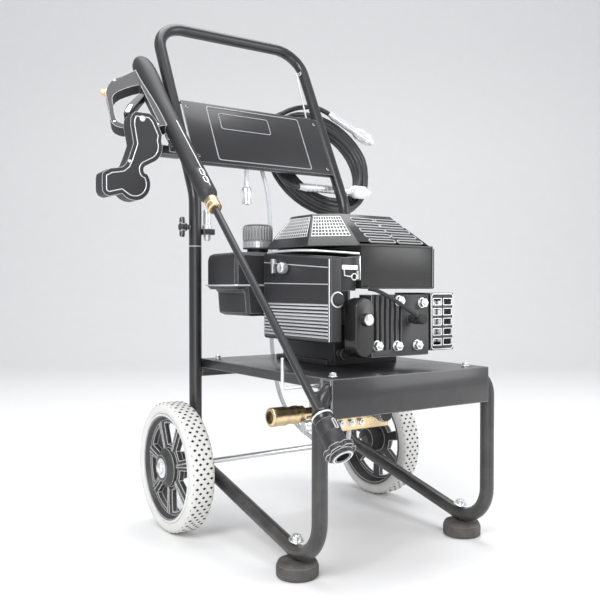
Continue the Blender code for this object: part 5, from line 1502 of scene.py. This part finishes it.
    def tank(self):
        """Fuel tank with its seam, neck ring and ribbed cap."""
        black = plastic_finish()
        piece("tank_shell", [refined("fuel_tank", 0.0040, 3, 2.0)], black, "frame",
              ["fuel_tank"])
        low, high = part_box("fuel_tank")
        z = 0.4720
        seam = [Vector((low.x - 0.0006, high.y + 0.0006, z)), Vector((low.x - 0.0006, low.y - 0.0006, z)),
                Vector((high.x - 0.004, low.y - 0.0006, z))]
        piece("tank_seam", wire(filleted(seam, [0.006]), 0.0016, 4), sleeve_finish(), "frame")
        low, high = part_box("fuel_cap")
        axis = Vector(((low.x + high.x) / 2, (low.y + high.y) / 2, low.z))
        tall = high.z - low.z
        radius = (high.x - low.x) / 2
        way = facing(axis, (0, 0, 1))
        lid = turned([(0.0, tall), (radius - 0.0080, tall), (radius - 0.0060, tall - 0.0012),
                      (radius - 0.0030, tall - 0.0016),
                      (radius - 0.0016, tall - 0.0040), (radius - 0.0016, 0.0160),
                      (radius - 0.0004, 0.0150),
                      (radius - 0.0004, 0.0010), (radius - 0.0012, 0.0), (0.0216, 0.0), (0.0216, 0.0190),
                      (0.0, 0.0190)],
                     way, 64)
        rib = rounded(block((radius - 0.0030, -0.0016, 0.0175), (radius - 0.0001, 0.0016, tall - 0.0045),
                            Matrix.Identity(4)),
                      0.0007, 1)
        ribs = repeated("cap_ribs", rib,
                        [way @ Matrix.Rotation(math.radians(12 * i), 4, "Z") for i in range(30)], black)
        piece("tank_cap", [lid, ribs], black, "cap", ["fuel_cap"])
        tooth = rounded(block((radius - 0.0008, -0.0010, 0.0020), (radius, 0.0010, 0.0140),
                              Matrix.Identity(4)), 0.0, 1)
        knurl = repeated("cap_knurl", tooth,
                         [way @ Matrix.Rotation(math.radians(6 * i), 4, "Z") for i in range(60)],
                         sleeve_finish())
        piece("cap_knurl", knurl, sleeve_finish(), "cap")

    def controls(self):
        """Choke, fuel valve, primer, oil plug and starter grip."""
        zinc = zinc_finish()
        low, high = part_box("choke_knob")
        root = Vector((high.x, (low.y + high.y) / 2, (low.z + high.z) / 2))
        way = facing(root, (-1, 0, 0))
        knob = turned([(0.0, 0.0150), (0.0040, 0.0148), (0.0060, 0.0158), (0.0078, 0.0160),
                       (0.0094, 0.0148),
                       (0.0100, 0.0130), (0.0100, 0.0040), (0.0085, 0.0024), (0.0060, 0.0010),
                       (0.0060, 0.0), (0.0, 0.0)],
                      way, 48)
        piece("choke_pull", knob, zinc, "choke", ["choke_knob"])
        piece("valve_lever", [refined("fuel_valve", 0.0010, 2)], zinc, "valve", ["fuel_valve"])
        low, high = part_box("primer_bulb")
        root = Vector(((low.x + high.x) / 2, high.y, (low.z + high.z) / 2))
        way = facing(root, (0, -1, 0))
        bulb = turned([(0.0, 0.0120), (0.0040, 0.0117), (0.0075, 0.0104), (0.0100, 0.0080),
                       (0.0112, 0.0050),
                       (0.0114, 0.0015), (0.0, 0.0015)], way, 48)
        ring = turned([(0.0118, 0.0030), (0.0135, 0.0024), (0.0135, 0.0), (0.0105, 0.0), (0.0105, 0.0024),
                       (0.0118, 0.0030)], way, 48)
        piece("primer", bulb, rubber_finish(), "frame", ["primer_bulb"])
        piece("primer_ring", ring, sleeve_finish(), "frame")
        low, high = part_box("oil_plug")
        root = Vector(((low.x + high.x) / 2, high.y, (low.z + high.z) / 2))
        way = facing(root, (0, -1, 0))
        plug = turned([(0.0, 0.0180), (0.0078, 0.0180), (0.0098, 0.0165), (0.0098, 0.0072),
                       (0.0070, 0.0060),
                       (0.0070, 0.0003), (0.0, 0.0003)], way, 36)
        piece("oil_fill_plug", plug, plastic_finish(), "plug", ["oil_plug"])
        low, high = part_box("starter_grip")
        grip_y = high.y - 0.010
        centre = Vector(((low.x + high.x) / 2, grip_y, (low.z + high.z) / 2))
        half = (high.x - low.x) / 2
        grip = turned([(0.0, half), (0.0070, half - 0.0004), (0.0094, half - 0.0030),
                       (0.0100, half - 0.0070),
                       (0.0086, 0.0), (0.0100, 0.0070 - half), (0.0094, 0.0030 - half),
                       (0.0070, 0.0004 - half),
                       (0.0, -half)], facing(centre, (1, 0, 0)), 40)
        rope = rod(Vector((centre.x, low.y, centre.z)), centre, 0.0022, 20)
        piece("pull_grip", [grip, rope], plastic_finish(), "starter", ["starter_grip"])


# ---- pump -------------------------------------------------------------------------------------
class WASHER_OT_pump(bpy.types.Operator):
    """Dress the pump under the tray and finish what stays as the frame has it"""
    bl_idname = "washer.pump"
    bl_label = "Pump"

    def execute(self, context):
        brass = brass_finish()
        zinc = zinc_finish()
        piece("pump_body", [refined("pump_housing", 0.0012, 2)], cast_finish(), "frame",
              ["pump_housing"])
        piece("pump_manifold", [refined("pump_head", 0.0020, 2)], brass, "frame", ["pump_head"])
        low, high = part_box("pump_head")
        caps = [facing((low.x + 0.062 + 0.022 * i, low.y + 0.0003, low.z + h), (0, -1, 0))
                for i in range(4) for h in (0.014, 0.050)]
        bolts = repeated("manifold_bolts", hex_bolt(0.0125, 0.0060, 1.1), caps, zinc)
        piece("manifold_bolts", bolts, zinc, "frame")
        self.inlet(brass)
        self.outlet(zinc)
        low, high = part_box("unloader_knob")
        root = Vector(((low.x + high.x) / 2, high.y, (low.z + high.z) / 2))
        way = facing(root, (0, -1, 0))
        knob = turned([(0.0, 0.0340), (0.0100, 0.0338), (0.0122, 0.0325), (0.0130, 0.0300),
                       (0.0130, 0.0135),
                       (0.0100, 0.0105), (0.0100, 0.0003), (0.0, 0.0003)], way, 48)
        rib = rounded(block((0.0120, -0.0012, 0.0140), (0.0145, 0.0012, 0.0300), Matrix.Identity(4)),
                      0.0006, 1)
        ribs = repeated("knob_ribs", rib,
                        [way @ Matrix.Rotation(math.radians(24 * i), 4, "Z") for i in range(15)],
                        plastic_finish())
        piece("pressure_knob", [knob, ribs], plastic_finish(), "unloader",
              ["unloader_knob"])
        for name, made in (("crankshaft", steel_finish()), ("flywheel", cast_finish()),
                           ("swash_plate", steel_finish()),
                           ("piston", steel_finish())):
            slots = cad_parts[name].material_slots
            if not slots:
                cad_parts[name].data.materials.append(made)
            for place in slots:
                place.material = made
        return {"FINISHED"}

    def inlet(self, brass):
        """The garden-hose swivel with its knurled grip and lugs."""
        low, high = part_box("inlet_swivel")
        root = Vector((high.x, (low.y + high.y) / 2, (low.z + high.z) / 2))
        way = facing(root, (-1, 0, 0))
        long = high.x - low.x
        profile = [(0.0114, long), (0.0140, long), (0.0158, long - 0.0012), (0.0165, long - 0.0026),
                   (0.0165, long - 0.0300),
                   (0.0150, long - 0.0325), (0.0150, 0.0220), (0.0162, 0.0205), (0.0162, 0.0120),
                   (0.0150, 0.0105),
                   (0.0150, 0.0008), (0.0142, 0.0), (0.0114, 0.0), (0.0114, long)]
        body = turned(profile, way, 56)
        rib = rounded(block((0.0148, -0.0012, long - 0.0280), (0.0165, 0.0012, long - 0.0045),
                            Matrix.Identity(4)), 0.0004, 1)
        ribs = repeated("swivel_ribs", rib,
                        [way @ Matrix.Rotation(math.radians(20 * i), 4, "Z") for i in range(18)], brass)
        piece("hose_swivel", [body, ribs], brass, "inlet", ["inlet_swivel"])
        washer = turned([(0.0114, long - 0.010), (0.0114, long - 0.013), (0.0062, long - 0.013),
                         (0.0062, long - 0.010),
                         (0.0114, long - 0.010)], way, 40)
        piece("swivel_washer", washer, rubber_finish(), "inlet")

    def outlet(self, zinc):
        """The threaded high-pressure outlet."""
        low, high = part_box("outlet_fitting")
        root = Vector((high.x, (low.y + high.y) / 2, (low.z + high.z) / 2))
        long = high.x - low.x
        profile = [(0.0, long), (0.0084, long), (0.0092, long - 0.0010)]
        for i in range(9):
            height = long - 0.0022 - i * 0.0022
            profile += [(0.0100, height), (0.0100, height - 0.0008), (0.0092, height - 0.0014)]
        profile += [(0.0100, 0.0250), (0.0124, 0.0240), (0.0130, 0.0228), (0.0130, 0.0010), (0.0122, 0.0),
                    (0.0, 0.0)]
        piece("pressure_outlet", turned(profile, facing(root, (-1, 0, 0)), 48), zinc, "frame",
              ["outlet_fitting"])


# ---- panel and registration -------------------------------------------------------------------
OPERATORS = (WASHER_OT_stage, WASHER_OT_hoses, WASHER_OT_chassis, WASHER_OT_handle, WASHER_OT_wheels,
             WASHER_OT_gun,
             WASHER_OT_engine, WASHER_OT_pump)


class WASHER_PT_panel(bpy.types.Panel):
    """Lists the settings and the builders"""
    bl_idname = "WASHER_PT_panel"
    bl_label = "Pressure washer"
    bl_space_type = "VIEW_3D"
    bl_region_type = "UI"
    bl_category = "Washer"

    def draw(self, context):
        layout = self.layout
        for group in (context.scene.washer_colours, context.scene.washer_sizes):
            for name in group.bl_rna.properties.keys():
                if name not in ("rna_type", "name"):
                    layout.prop(group, name)
        for operator in OPERATORS:
            layout.operator(operator.bl_idname)


CLASSES = (WasherColours, WasherSizes, *OPERATORS, WASHER_PT_panel)


def register():
    """Registers the classes and their settings."""
    for made in CLASSES:
        bpy.utils.register_class(made)
    bpy.types.Scene.washer_colours = PointerProperty(type=WasherColours)
    bpy.types.Scene.washer_sizes = PointerProperty(type=WasherSizes)


def unregister():
    """Removes the settings and the classes."""
    del bpy.types.Scene.washer_sizes
    del bpy.types.Scene.washer_colours
    for made in reversed(CLASSES):
        bpy.utils.unregister_class(made)


def main():
    """Builds every piece."""
    register()
    bpy.ops.washer.stage()
    bpy.ops.washer.hoses()
    bpy.ops.washer.chassis()
    bpy.ops.washer.handle()
    bpy.ops.washer.wheels()
    bpy.ops.washer.gun()
    bpy.ops.washer.engine()
    bpy.ops.washer.pump()


if __name__ == "__main__":
    main()
